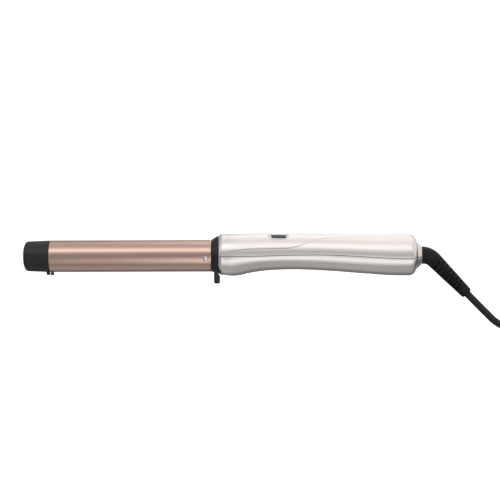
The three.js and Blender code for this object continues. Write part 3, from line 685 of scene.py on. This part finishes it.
def add_plug_relief():
    """The grooved cone between the cord and the plug."""
    grooves = []
    for k in range(5):
        s = 4.2 + 3 * k
        r = mix(4.2, 5.5, (s - 1.4) / 18)
        grooves += [(s, r, 0.25), (s + 0.25, r - 0.7, 0.2), (s + 1.15, r - 0.65, 0.2),
                    (s + 1.4, r + 0.1, 0.25)]
    profile = fillet([(1.4, 0), (1.4, 3.9, 0.6), *grooves, (19.7, 5.6, 0.3), (19.7, 0)], steps=3)
    return piece(lathe("plug_relief", profile, 64, ON_PLUG), "handle", "plug_strain_relief")


def plug_ring(s):
    """The plug's section at s."""
    front, rear = PLUG_EDGE
    inset = rounding((20.8 - s) / front, front) + rounding((s - 47.1) / rear, rear)
    wide, high = along(PLUG_PLAN, s) - inset, mix(5.6, 6.58, smooth((s - 20) / 10)) - inset
    return [(s, wide * bulged(math.cos(a), PLUG_POWER), high * bulged(math.sin(a), PLUG_POWER))
            for a in around(PLUG_SIDES)]


def grip_rib(s, side):
    """A low rounded rib across the plug's upper or lower face."""
    width = along(PLUG_PLAN, s) * 0.55
    bow = [(math.cos(a), math.sin(a)) for a in around(12)]
    rows = [[(s + 0.7 * c, y, side * (6.3 + 0.26 * max(0, d) - 0.5 * (d < 0))) for c, d in bow]
            for y in spread(-width, width, 9)]
    return lofted("rib", rows)


def add_plug_body():
    stops = [20, 20.15, 20.5, 21, *spread(22, 46.8, 40), 47.3, 47.7, 47.92, 48]
    parts = [lofted("plug_shell", [plug_ring(s) for s in stops], sharp=50)]
    parts += [grip_rib(30.5 + 3.2 * k, side) for side in (1, -1) for k in range(4)]
    for part in parts:
        part.data.transform(scaled(ON_PLUG))
    return piece(merged("mains_plug", parts), "handle", "plug_body")


def add_plug_pins():
    pins = []
    for name, side in SIDES:
        profile = fillet([(48.2, 0), (48.2, 2, 0.1), (66.1, 2, 1.2), (67.3, 0.9, 0.3), (67.3, 0)], steps=5)
        pin = lathe(f"pin_{name}", profile, 40, ON_PLUG @ at(0, side * 9.3, 0))
        pins.append(piece(pin, "handle", f"plug_pin_{name}"))
    return pins


SLOTS = 7
SLOT_PITCH = 4.46
SLOT_ROWS = ((1, 2.9), (-1, 5.1))  # above or below the middle, and where the first slot lies
SLOT_HALF = 0.6
BORE_R = 3.35


def guard_ring(s, inset=0.0, r=None):
    x, z, a, own = guard_line(s)
    r = own - inset if r is None else r
    return [(x + r * math.sin(t) * math.sin(a), -r * math.cos(t), z + r * math.sin(t) * math.cos(a))
            for t in around(80)]


def guard_slot(s, row, side):
    """A tool for one slot: a shallow curved box over one of the guard's quarters."""
    x, z, a, r = guard_line(s)
    arc = [rad(v) for v in spread(-9, 66, 16)]
    outline = [(r + 1, v) for v in arc] + [(r - 1.5, v) for v in reversed(arc)]
    slot = shell_of("slot", [[(dx, -side * q * math.cos(v), row * q * math.sin(v)) for q, v in outline]
                             for dx in (-SLOT_HALF, SLOT_HALF)])
    slot.data.transform(scaled(at(x, 0, z) @ Matrix.Rotation(a, 4, "Y")))
    return slot


def add_guard():
    """A tapered elbow with two staggered rows of slots on each side, and a bore for the cord."""
    rings = [guard_ring(0, r=3.0), guard_ring(0, 0.3), guard_ring(0.12, 0.08), guard_ring(GUARD_LIP)]
    rings += [guard_ring(s) for s in spread(0.9, GUARD_LENGTH - 1.6, 66)]
    for a in [rad(90) * k / 6 for k in range(1, 7)]:
        rings.append(guard_ring(GUARD_LENGTH - 1.4 * (1 - math.sin(a)), 1.4 * (1 - math.cos(a))))
    rings += [guard_ring(GUARD_LENGTH, r=BORE_R), guard_ring(GUARD_LENGTH - 7, r=BORE_R)]
    guard = lofted("cord_bend_guard", rings)
    first_slot = GUARD_LENGTH - GUARD_STRAIGHT
    slots = [guard_slot(first_slot + first + SLOT_PITCH * k, row, side)
             for row, first in SLOT_ROWS for k in range(SLOTS) for side in (1, -1)]
    carve(guard, merged("slots", slots))
    return piece(guard, "cord_swivel", "cord_guard")


# ---- the handle's form ----

ROUNDNESS = 2.05
GAP = 0.3
TOP = eased([(-83, 19.2), (-60, 19.65), (-34, 19.65), (-12, 19.3), (10, 18.9), (50, 18.6),
             (80, 18.9)])
BOTTOM = eased([(-83, -16.95), (-76, -17.75), (-69, -17.3), (-56, -14.6), (-42, -12.95), (-24, -12.3),
                (-6, -12.7), (16, -14), (40, -16), (64, -17.7), (80, -18)])
HALF_WIDTH = eased([(-83, 17.3), (-72, 17.4), (-50, 16.4), (-22, 15.6), (6, 15.8), (44, 17),
                    (80, 17.8)])
PARTING = eased([(-86, -0.6), (-55, -0.4), (-30, 0.35), (0, 0.6), (20, 0), (40, -1.2), (65, -2.6),
                 (84, -3)])
PARTING_END = -1.9  # on the cone
FASCIA_EDGE = eased([(-86, 1), (-80.6, 3), (-72.6, 4.2), (-62, 5.4), (-42, 6.1), (-26, 6.3),
                     (-15.5, 8.6), (-9, 11.3), (-1, 13.4), (6, 15.2), (14, 15.6), (50, 15.5), (84, 16)])
FRONT_RIM = [(-87.2, 2), (-87.12, 1.78), (-86.95, 1.58), (-85.9, 0.55), (-85.65, 0.38), (-85.3, 0.2),
             (-84.8, 0.06), (-84.3, 0)]
REAR_DOME = eased([(80, 0), (82, 0.15), (83.6, 0.8), (85, 1.9), (86.2, 3.5), (87, 5.2), (87.5, 6.9)])
CONE = [(87.6, 11.8), (88.6, 11), (90.2, 9.6), (91.4, 8.4), (92, 7.7)]
FASCIA_X = (-84.6, 83)
FASCIA_T = 1.1
FRONT_MOUTH = (-84.3, 12.6)  # where each round opening starts, and its radius
REAR_MOUTH = (84.3, 5.8)


def station(x):
    """Half width, top, bottom and parting height of the handle at x."""
    if x >= CONE[0][0]:
        r = along(CONE, x)
        return x, r, r, -r, PARTING_END
    inset = along(FRONT_RIM if x < 0 else REAR_DOME, x)
    parting = mix(-3, PARTING_END, (x - 84) / 3.6) if x > 84 else along(PARTING, x)
    half, top, bottom = (along(rows, x) for rows in (HALF_WIDTH, TOP, BOTTOM))
    return x, half - inset, top - inset, bottom + inset, parting


def section(s, angle, inset=0.0, lower=False):
    """A point of the section at an angle: 0 at +Y, 90 degrees at the top."""
    x, half, top, bottom, parting = s
    spring = parting - GAP / 2 if lower else parting + GAP / 2
    peak = bottom + inset if lower else top - inset
    power = 2 / ROUNDNESS
    y = (half - inset) * bulged(math.cos(angle), power)
    return x, y, spring + (peak - spring) * abs(math.sin(angle)) ** power


def top_z(x, y, inset=0.0):
    """The height of the handle's top surface over a point of the plan."""
    _, half, top, _, parting = station(x)
    spring = parting + GAP / 2
    side = clamp(abs(y) / (half - inset), 0, 0.999)
    return spring + (top - inset - spring) * (1 - side ** ROUNDNESS) ** (1 / ROUNDNESS)


def edge_angle(x):
    """The section's angle at which the fascia's edge lies."""
    x = min(x, FASCIA_X[1])
    _, _, top, _, parting = station(x)
    return math.asin(((along(FASCIA_EDGE, x) - parting) / (top - parting)) ** (ROUNDNESS / 2))


STATIONS = sorted({round(v, 4) for v in [
    *(x for x, _ in FRONT_RIM[:-1]), -86.6, -86.2, -85, *spread(-84.6, -83.4, 9),
    *spread(-82.9, 80, 120), *spread(80.6, 82.6, 4), 83, *spread(83.3, 87.5, 20),
    *spread(87.6, 92, 9)]})
GROOVE = (0.05, 0.75)  # the shadow line along the parting: each shell's step, high and deep


def opened(x, s, wall):
    """The inner side's station and inset: a wall's thickness, or a round opening at the ends."""
    if FRONT_MOUTH[0] <= x <= REAR_MOUTH[0]:
        return s, wall
    r = FRONT_MOUTH[1] if x < 0 else REAR_MOUTH[1]
    return (x, r, r, -r, s[4]), 0


def half_ring(x, angles, wall, lower, outer_inset):
    """One ring of a shell half: its outer side with stepped edges, and its inner side back."""
    s = station(x)
    outer = [section(s, a, outer_inset(a), lower) for a in angles]
    z_sign = -1 if lower else 1
    first, last = outer[0], outer[-1]

    high, deep = GROOVE
    shut = 0.01 - GAP / 2  # behind the shadow line the two shells close on each other

    def edge(p):
        """The step between the outer side and the parting face, from the parting outward."""
        inward = -math.copysign(1, p[1])
        return [(x, p[1] + inward * dy, p[2] + z_sign * dz)
                for dy, dz in ((deep, shut), (deep, high), (0.06, high), (0.01, high + 0.05))]

    inner_s, inset = opened(x, s, wall)
    inner = [section(inner_s, a, inset, lower) for a in reversed(angles)]
    body = [(px, py, pz + z_sign * (high + 0.1) * max(0, 1 - abs(math.sin(a)) * 5))
            for (px, py, pz), a in zip(outer, angles)]
    outer = edge(first) + body + edge(last)[::-1]
    near = [(x, mix(inner[0][1], outer[-1][1], 0.02 * k), outer[-1][2]) for k in (4, 3, 2, 1)]
    far = [(x, mix(inner[-1][1], outer[0][1], 0.02 * k), outer[0][2]) for k in (1, 2, 3, 4)]
    return outer + near + inner + far


SCREWS_X = (-62, 46)
KEY_HOLE_R = 4.42
BUTTONS = {"power": -13, "plus": 3, "minus": 19}
WINDOW = dict(length=13.2, width=20.4, corner=2.6)
BEZEL = dict(length=17.4, width=23.6, corner=4.2)
WINDOW_X = -34.2


def rounded_plan(x, size, grow=0.0, steps=6):
    """A rounded rectangle in plan, its corners turned in steps and its sides cut into short ones."""
    a, b = size["length"] / 2 + grow, size["width"] / 2 + grow
    r = max(size["corner"] + grow, 0.05)
    out = []
    for quarter, (sx, sy) in enumerate(((1, 1), (-1, 1), (-1, -1), (1, -1))):
        for k in range(steps + 1):
            t = rad(90) * (quarter + k / steps)
            out.append((x + sx * (a - r) + r * math.cos(t), sy * (b - r) + r * math.sin(t)))
    line = []
    for p, q in zip(out, out[1:] + out[:1]):
        n = max(1, round(math.dist(p, q) / 1.2))
        line += [(mix(p[0], q[0], k / n), mix(p[1], q[1], k / n)) for k in range(n)]
    return line


def plan_tool(size, grow):
    line = rounded_plan(WINDOW_X, size, grow)
    return lofted("tool", [[(x, y, z) for x, y in line] for z in (5, 25)])


def button_tools():
    return [post_tool(x, 0, KEY_HOLE_R, 5, 25) for x in BUTTONS.values()]


def paint_groove_shade(shell):
    """Paints shade into the shadow line along the parting: the groove's faces get a dark plastic finish in
    place of the lacquer, so the groove reads dark like shade.
    """
    shell.data.materials.append(paints["painted_groove_shade"])
    high, deep = GROOVE
    for face in shell.data.polygons:
        x, y, z = face.center / MM
        _, half, _, _, parting = station(x)
        # a groove's face has its centre within the step, and not on the outer side
        if abs(z - parting) < GAP / 2 + high + 0.02 and 0.03 < half - abs(y) < deep + 0.05:
            face.material_index = 1
    return shell


def add_lower_shell():
    """The lower shell, with a post and a sunk hole for each of its screws."""
    angles = [-math.pi * i / 60 for i in range(61)]
    rings = [half_ring(x, angles, 2.2, True, lambda a: 0) for x in STATIONS]
    shell = shell_of("handle_lower_shell", rings, sharp=SHELL_SHARP)
    for x in SCREWS_X:
        carve(shell, post_tool(x, 0, 4.2, along(BOTTOM, x) + 1.0, -2), "UNION")
        well = lathe("tool", [(-30, 0), (-30, 3.3), (-9, 3.1), (-9, 1.7), (5, 1.7), (5, 0)], 64,
                     at(x, 0, 0) @ UPRIGHT)
        cut_shell(shell, [well])
    return paint_groove_shade(piece(shell, "handle", "lower_shell"))


def add_upper_shell():
    """The upper shell, sunk where the fascia lies on it."""
    def ring(x):
        edge = edge_angle(x)
        covered = FASCIA_X[0] - 0.15 <= x <= FASCIA_X[1] + 0.15
        side = spread(0, edge - 0.008, 18)
        top = spread(edge, math.pi - edge, 41)
        angles = [*side, *top, *[math.pi - a for a in reversed(side)]]

        def sunk(a):
            return 1.4 if covered and edge - 1e-6 <= a <= math.pi - edge + 1e-6 else 0

        return half_ring(x, angles, 3.2, False, sunk)

    shell = shell_of("handle_upper_shell", [ring(x) for x in STATIONS], sharp=SHELL_SHARP)
    cut_shell(shell, [plan_tool(WINDOW, -1.2), *button_tools()])
    return paint_groove_shade(piece(shell, "handle", "upper_shell"))


def add_fascia():
    """The fascia with rolled edges, over the display and the buttons."""
    rings = []
    for x in [x for x in STATIONS if FASCIA_X[0] <= x <= FASCIA_X[1]]:
        edge = edge_angle(x) + mix(0.006, 0.016, smooth((x + 5) / 15))
        end = min(x - FASCIA_X[0], FASCIA_X[1] - x)
        drop = rounding(1 - end / 0.5, 0.3)
        s = station(x)
        roll = [(0.0, 0.42), (0.002, 0.22), (0.006, 0.09), (0.014, 0.02)]
        outer = [section(s, edge + da, drop + dn) for da, dn in roll]
        outer += [section(s, a, drop) for a in spread(edge + 0.026, math.pi - edge - 0.026, 60)]
        outer += [section(s, math.pi - edge - da, drop + dn) for da, dn in reversed(roll)]
        inner = [section(s, a, FASCIA_T) for a in spread(math.pi - edge, edge, len(outer))]
        rings.append(outer + inner)
    fascia = shell_of("handle_fascia", rings, sharp=SHELL_SHARP)
    cut_shell(fascia, [plan_tool(BEZEL, 0.04), *button_tools()])
    return piece(fascia, "handle", "top_fascia")


# The bezel's section: how far out, and how deep under the handle's top.
BEZEL_SECTION = [(0, 1.1), (0, 0.06), (-0.03, 0.02), (-0.1, 0.0), (-0.9, -0.02), (-1.4, 0.0),
                 (-1.6, 0.12), (-1.7, 0.35), (-1.7, 1.1)]
# The lens: which share of its outline, and how deep under the handle's top.
LENS_SECTION = [(1.0, 1.0), (1.0, 0.45), (0.985, 0.3), (0.95, 0.22), (0.8, 0.18), (0.6, 0.15),
                (0.4, 0.14), (0.2, 0.13), (0.05, 0.13)]


def on_top(points, depth):
    """Points of the plan brought to a depth under the handle's top."""
    return [(x, y, top_z(x, y, depth)) for x, y in points]


def add_bezel():
    rings = [on_top(rounded_plan(WINDOW_X, BEZEL, grow), depth) for grow, depth in BEZEL_SECTION]
    piece(lofted("display_surround", rings, wrap=True), "handle", "display_bezel")


def add_window():
    outline = rounded_plan(WINDOW_X, WINDOW, -0.1)
    rings = [on_top([(mix(WINDOW_X, x, share), y * share) for x, y in outline], depth)
             for share, depth in LENS_SECTION]
    piece(lofted("display_lens", rings), "handle", "display_window")


# A button's dished face as radius and height over the handle's top, and its flange and stem as
# radius and height.
BUTTON_FACE = [(0.02, -0.26), (1.2, -0.24), (2.2, -0.16), (3.0, -0.05), (3.5, 0.0), (3.85, -0.03),
               (4.05, -0.12), (4.16, -0.26), (4.2, -0.5)]
BUTTON_STEM = [(4.2, 13.9), (5.2, 13.9), (5.2, 12.8), (1.5, 12.8), (1.5, 12.4)]
BUTTON_PROUD = 0.08


def add_button(name, x0):
    def plan(r):
        return [(x0 + r * math.cos(a), r * math.sin(a)) for a in around(64)]

    rings = [[(x, y, top_z(x, y) + BUTTON_PROUD + dz) for x, y in plan(r)] for r, dz in BUTTON_FACE]
    rings += [[(x, y, z) for x, y in plan(r)] for r, z in BUTTON_STEM]
    piece(lofted(f"{name}_key", rings), f"{name}_key", f"{name}_button")


# ---- barrel end ----

BARREL = (-235.5, -93.5)
CROSS_HALF = 0.28


def phillips(top, r):
    """A cross-shaped tool that sinks into a screw's head from below, centred on the Z axis."""
    low, high = top - 1, top + 0.8
    along_x = box_tool(-r, r, -CROSS_HALF, CROSS_HALF, low, high)
    return carve(along_x, box_tool(-CROSS_HALF, CROSS_HALF, -r, r, low, high), "UNION")


def add_screw(name, node, x, head, sides, cross_top, cross_r):
    """A screw that points upwards at x, with a cross in its head."""
    screw = lathe(name, head, sides, at(x, 0, 0) @ UPRIGHT)
    cross = phillips(cross_top, cross_r)
    cross.data.transform(scaled(at(x, 0, 0)))
    carve(screw, cross)
    piece(screw, "handle", node)


def add_barrel():
    front, rear = BARREL
    profile = fillet([
        (front, 13), (front, 13.8, 0.12), (front + 0.35, 14, 0.3), (rear - 1.7, 14, 0.3),
        (rear - 1.45, 14.15, 0.1), (rear - 0.2, 14.15, 0.12), (rear, 13.95, 0.05), (rear, 13)], steps=4)
    piece(lathe("barrel_sleeve", profile, 192), "handle", "barrel_tube")


TIP = (-259.1, -235.8)
TIP_DOME = eased([(0, 0), (0.1, 4.2), (0.7, 8.75), (1.55, 11), (2.4, 12.3), (3.3, 12.85),
                  (4.4, 13.2)], 36)
TIP_SCREW_X = -233.8


def add_tip():
    """The cap with its dome, its plug in the barrel's end and the nub under its rim."""
    end, rim = TIP
    outer = [(end + x, r) for x, r in TIP_DOME]
    outer += [(x, mix(13.2, 13.93, (x + 254.7) / 18.2)) for x in spread(-254.1, rim - 0.8, 12)]
    outer += fillet([(rim - 0.7, 13.95), (rim, 13.95, 0.3), (rim, 12.7)], steps=5)[1:]
    inner = [(rim + 10, 12.7), (rim + 10, 10.6), (end + 4, 10.2), (end + 3, 0)]
    tip = lathe("cool_tip_cap", outer + inner, 128)
    nub = lathe("tool", fillet([(11.5, 0), (11.5, 1.6), (16.5, 1.6, 0.8), (16.5, 0)], steps=6), 40,
                at(rim - 1.6, 0, 0) @ Matrix.Rotation(rad(90), 4, "Y"))
    carve(tip, nub, "UNION")
    piece(tip, "handle", "cool_tip")
    head = fillet([(-16.7, 0), (-16.7, 1.2, 0.5), (-15.9, 1.75, 0.3), (-14.3, 1.75), (-14.3, 1),
                   (-11, 1), (-10.4, 0)], steps=4)
    add_screw("tip_fixing_screw", "tip_screw", TIP_SCREW_X, head, 40, -17, 1.0)


RIVET = [(15.2, 0), (15.19, 0.8), (15.16, 1.4), (15.08, 1.7), (14.9, 1.98), (14.6, 2.2), (14.1, 2.2),
         (14.1, 1.1), (10.6, 1.1), (10.6, 0)]
RIVET_X = -98.4
RIVET_TILT = rad(-10)


def add_rivets():
    for name, side in SIDES:
        tilt = Matrix.Rotation(RIVET_TILT * side, 4, "X") @ Matrix.Rotation(rad(90) * side, 4, "Z")
        rivet = lathe(f"rivet_{name}", RIVET, 48, at(RIVET_X, 0, 0) @ tilt)
        piece(rivet, "handle", f"barrel_rivet_{name}")


# The collar's outside: x, half width, top and bottom.
FLARE = eased([(-93.2, 14.05, 14.3, 14.1), (-91.8, 14.6, 15.15, 14.4), (-90.4, 15.2, 16, 14.7),
               (-89, 15.7, 16.85, 15), (-87.5, 16.2, 17.65, 15.4)], 24)


# The collar's round inside, from its rear face round its lip to the step in its bore.
COLLAR_INSIDE = [(-87.5, 12), (-83.3, 12), (-83.3, 13.2), (-81.8, 13.2), (-81.8, 11), (-88.3, 11),
                 (-88.3, 13)]


def add_collar():
    """The flared ring, which reaches into the handle with a lip."""
    def ring(x, half, top, bottom):
        return [(x, half * math.cos(a), (top if math.sin(a) > 0 else bottom) * math.sin(a))
                for a in around(128)]

    x0, h0, t0, b0 = FLARE[0]
    x1, h1, t1, b1 = FLARE[-1]
    rows = [(x0, 13, 13, 13), (x0, h0 - 0.3, t0 - 0.3, b0 - 0.3),
            (x0 + 0.08, h0 - 0.08, t0 - 0.08, b0 - 0.08)]
    rows += [row for row in FLARE if x0 + 0.2 < row[0] < x1 - 0.4]
    rows += [(x1 - 0.35, h1 - 0.12, t1 - 0.14, b1 - 0.1), (x1 - 0.1, h1 - 0.1, t1 - 0.12, b1 - 0.1),
             (x1, h1 - 0.3, t1 - 0.3, b1 - 0.3), *[(x, r, r, r) for x, r in COLLAR_INSIDE]]
    piece(lofted("collar_ring", [ring(*r) for r in rows], wrap=True), "handle", "front_collar")


def flare_at(x):
    """The collar's half width and depth below the axis at x."""
    for a, b in zip(FLARE, FLARE[1:]):
        if x <= b[0]:
            t = clamp((x - a[0]) / (b[0] - a[0]))
            return mix(a[1], b[1], t), mix(a[3], b[3], t)
    return FLARE[-1][1], FLARE[-1][3]


FOOT_X = (-91, -86.1)
FOOT_BOTTOM = -24.3
FOOT_HALF = 11
FOOT_EDGE = [(0, 0.7), (0.1, 0.35), (0.35, 0.1), (0.8, 0)]  # from each side: how far, how deep


def add_foot():
    """The stand foot: a rounded tab whose top follows the collar's underside."""
    rear_face = FLARE[-1][0]
    sides = [(-FOOT_HALF + dy, inset) for dy, inset in FOOT_EDGE]
    sides += [(y, 0) for y in spread(-9, 9, 13)]
    sides += [(FOOT_HALF - dy, inset) for dy, inset in reversed(FOOT_EDGE)]
    rings = []
    for y, inset in sides:
        front, rear, bottom = FOOT_X[0] + inset, FOOT_X[1] - inset, FOOT_BOTTOM + inset
        outline = fillet([(front, -18), (front, bottom, 1.4), (rear, bottom, 0.45), (rear, -18)], steps=6)
        top = []
        for x in spread(rear, front, 7):
            wide, deep = flare_at(min(x, rear_face - 0.01))
            z = -deep * math.sqrt(1 - (y / wide) ** 2) - 0.12 if x < rear_face else -17.3
            top.append((x, min(z, -10.2)))
        rings.append([(x, y, z) for x, z in [*outline[1:-1], *top]])
    piece(lofted("stand_tab", rings), "handle", "stand_foot")


def add_handle_screws():
    head = fillet([(-11.3, 0), (-11.3, 2.0, 0.4), (-10.5, 2.8, 0.2), (-9.2, 2.8), (-9.2, 1.4),
                   (4.6, 1.4), (6, 0)], steps=4)
    for name, x in zip(("front", "rear"), SCREWS_X):
        add_screw(f"shell_screw_{name}", f"handle_screw_{name}", x, head, 48, -11.6, 1.5)


# ---- light and floor ----

# The light's strength by its angle about the X axis: 0 from the camera's side, 90 from above.
# The four numbers are for directions towards the tip, the barrel's rear and the handle's two ends.
LIGHT = [
    (-180, 0.35, 0.35, 0.4, 0.4), (-150, 0.22, 0.2, 0.12, 0.14), (-128, 0.24, 0.18, 0.12, 0.14),
    (-112, 0.46, 0.44, 0.32, 0.34), (-92, 0.46, 0.46, 0.36, 0.36), (-74, 0.35, 0.4, 0.35, 0.34),
    (-62, 0.31, 0.42, 0.34, 0.33), (-54, 0.35, 1.05, 0.36, 0.34), (-42, 0.42, 1.85, 0.6, 0.66),
    (-30, 0.4, 2.0, 1.1, 1.16), (-22, 0.37, 1.5, 1.2, 1.22), (-12, 0.36, 0.5, 1.15, 1.15),
    (-4, 0.36, 0.36, 0.85, 0.85), (4, 0.38, 0.38, 0.5, 0.48), (12, 0.4, 0.4, 0.38, 0.38),
    (20, 0.47, 0.45, 0.42, 0.42), (28, 0.88, 0.85, 0.85, 0.85), (40, 1.5, 1.5, 1.45, 1.3),
    (50, 1.45, 1.5, 1.25, 1.06), (62, 0.78, 0.85, 0.84, 0.94), (76, 0.6, 0.66, 0.8, 1.04),
    (88, 0.6, 0.7, 1.06, 1.15), (102, 0.64, 1.1, 1.22, 1.18), (116, 0.64, 1.15, 1.3, 1.25),
    (130, 0.42, 0.7, 1.15, 1.1), (155, 0.36, 0.4, 0.95, 0.95), (180, 0.35, 0.35, 0.7, 0.7)]
LIGHT_TOP = 2.0
# Each further column takes over between these two values of a direction's x.
LIGHT_STEPS = ((2, -0.15, -0.05), (3, -0.032, -0.018), (4, 0.02, 0.07))
SEEN_WHITE = 1.2  # the strength of the white that the camera sees behind the object
FLOOR_R = 4
FLOOR_COLOR = (0.75, 0.75, 0.75, 1)
FLOOR_GLOW = 0.72


def light_nodes(tree, vector):
    """The strength that LIGHT gives in a direction, as a socket."""
    def output(kind, *inputs, **settings):
        return add_node(tree, kind, dict(enumerate(inputs)), **settings).outputs[0]

    def math_node(operation, *inputs):
        return output("ShaderNodeMath", *inputs, operation=operation)

    def ramp(share, column):
        return color_ramp(tree, share, [((row[0] + 180) / 360, [row[column] / LIGHT_TOP] * 3)
                                        for row in LIGHT])

    unit = output("ShaderNodeVectorMath", vector, operation="NORMALIZE")
    x, y, z = add_node(tree, "ShaderNodeSeparateXYZ", {0: unit}).outputs
    angle = math_node("ARCTAN2", z, math_node("MULTIPLY", y, -1.0))
    share = math_node("MULTIPLY_ADD", angle, 1 / TAU, 0.5)
    both = ramp(share, 1)
    for column, start, end in LIGHT_STEPS:
        part = output("ShaderNodeMapRange", x, start, end, 0.0, 1.0)
        more = math_node("SUBTRACT", ramp(share, column), both)
        both = math_node("MULTIPLY_ADD", more, part, both)
    ends = output("ShaderNodeMapRange", math_node("ABSOLUTE", x), 0.3, 0.7, 1.0, 0.75)
    return math_node("MULTIPLY", math_node("MULTIPLY", both, ends), LIGHT_TOP)


def add_world():
    world = bpy.data.worlds.new("studio")
    world.use_nodes = True
    tree = world.node_tree
    white = (1, 1, 1, 1)
    where = add_node(tree, "ShaderNodeTexCoord").outputs["Generated"]
    lit = tree.nodes["Background"]
    lit.inputs["Color"].default_value = white
    tree.links.new(light_nodes(tree, where), lit.inputs["Strength"])
    seen = add_node(tree, "ShaderNodeBackground", {"Color": white, "Strength": SEEN_WHITE})
    path = add_node(tree, "ShaderNodeLightPath")
    choose = add_node(tree, "ShaderNodeMixShader", {
        "Fac": path.outputs["Is Camera Ray"], 1: lit.outputs[0], 2: seen.outputs[0]})
    tree.links.new(choose.outputs[0], tree.nodes["World Output"].inputs["Surface"])
    bpy.context.scene.world = world


def add_floor():
    """A white floor that only the camera sees. It takes the object's faint shadow, and is clear
    from below."""
    bm = bmesh.new()
    bmesh.ops.create_circle(bm, cap_ends=True, segments=96, radius=FLOOR_R)
    mesh = bpy.data.meshes.new("floor")
    bm.to_mesh(mesh)
    bm.free()
    floor = new_object("floor", mesh)
    floor.location = (0, 0, (FLOOR - 0.1) * MM)
    floor.visible_diffuse = floor.visible_glossy = floor.visible_shadow = False
    material = bpy.data.materials.new("white_floor")
    material.use_nodes = True
    tree = material.node_tree
    tree.nodes.clear()
    place = add_node(tree, "ShaderNodeNewGeometry")
    matt = add_node(tree, "ShaderNodeBsdfDiffuse", {"Color": FLOOR_COLOR})
    glow = add_node(tree, "ShaderNodeEmission", {"Strength": FLOOR_GLOW})
    both = add_node(tree, "ShaderNodeAddShader", {0: matt.outputs[0], 1: glow.outputs[0]})
    clear = add_node(tree, "ShaderNodeBsdfTransparent")
    choose = add_node(tree, "ShaderNodeMixShader", {
        "Fac": place.outputs["Backfacing"], 1: both.outputs[0], 2: clear.outputs[0]})
    add_node(tree, "ShaderNodeOutputMaterial", {"Surface": choose.outputs[0]})
    mesh.materials.append(material)


# ---- everything ----

add_camera()
paints = make_paints()
cord, cord_line = add_cord()
tie = add_tie()
plug_pieces = [add_plug_relief(), add_plug_body(), *add_plug_pins()]
guard = add_guard()
add_lower_shell()
add_upper_shell()
add_fascia()
add_bezel()
add_window()
for button_name, button_x in BUTTONS.items():
    add_button(button_name, button_x)
add_handle_screws()
add_collar()
add_foot()
add_barrel()
add_tip()
add_rivets()
for node_name, cad_node in frame["nodes"].items():
    if not cad_node.hide_render:
        cad_node.data.materials.clear()
        cad_node.data.materials.append(paints[slot_of_node[node_name]])
add_world()
add_floor()
view = bpy.context.scene.view_settings
view.view_transform, view.look, view.exposure = "Standard", "None", 0.0
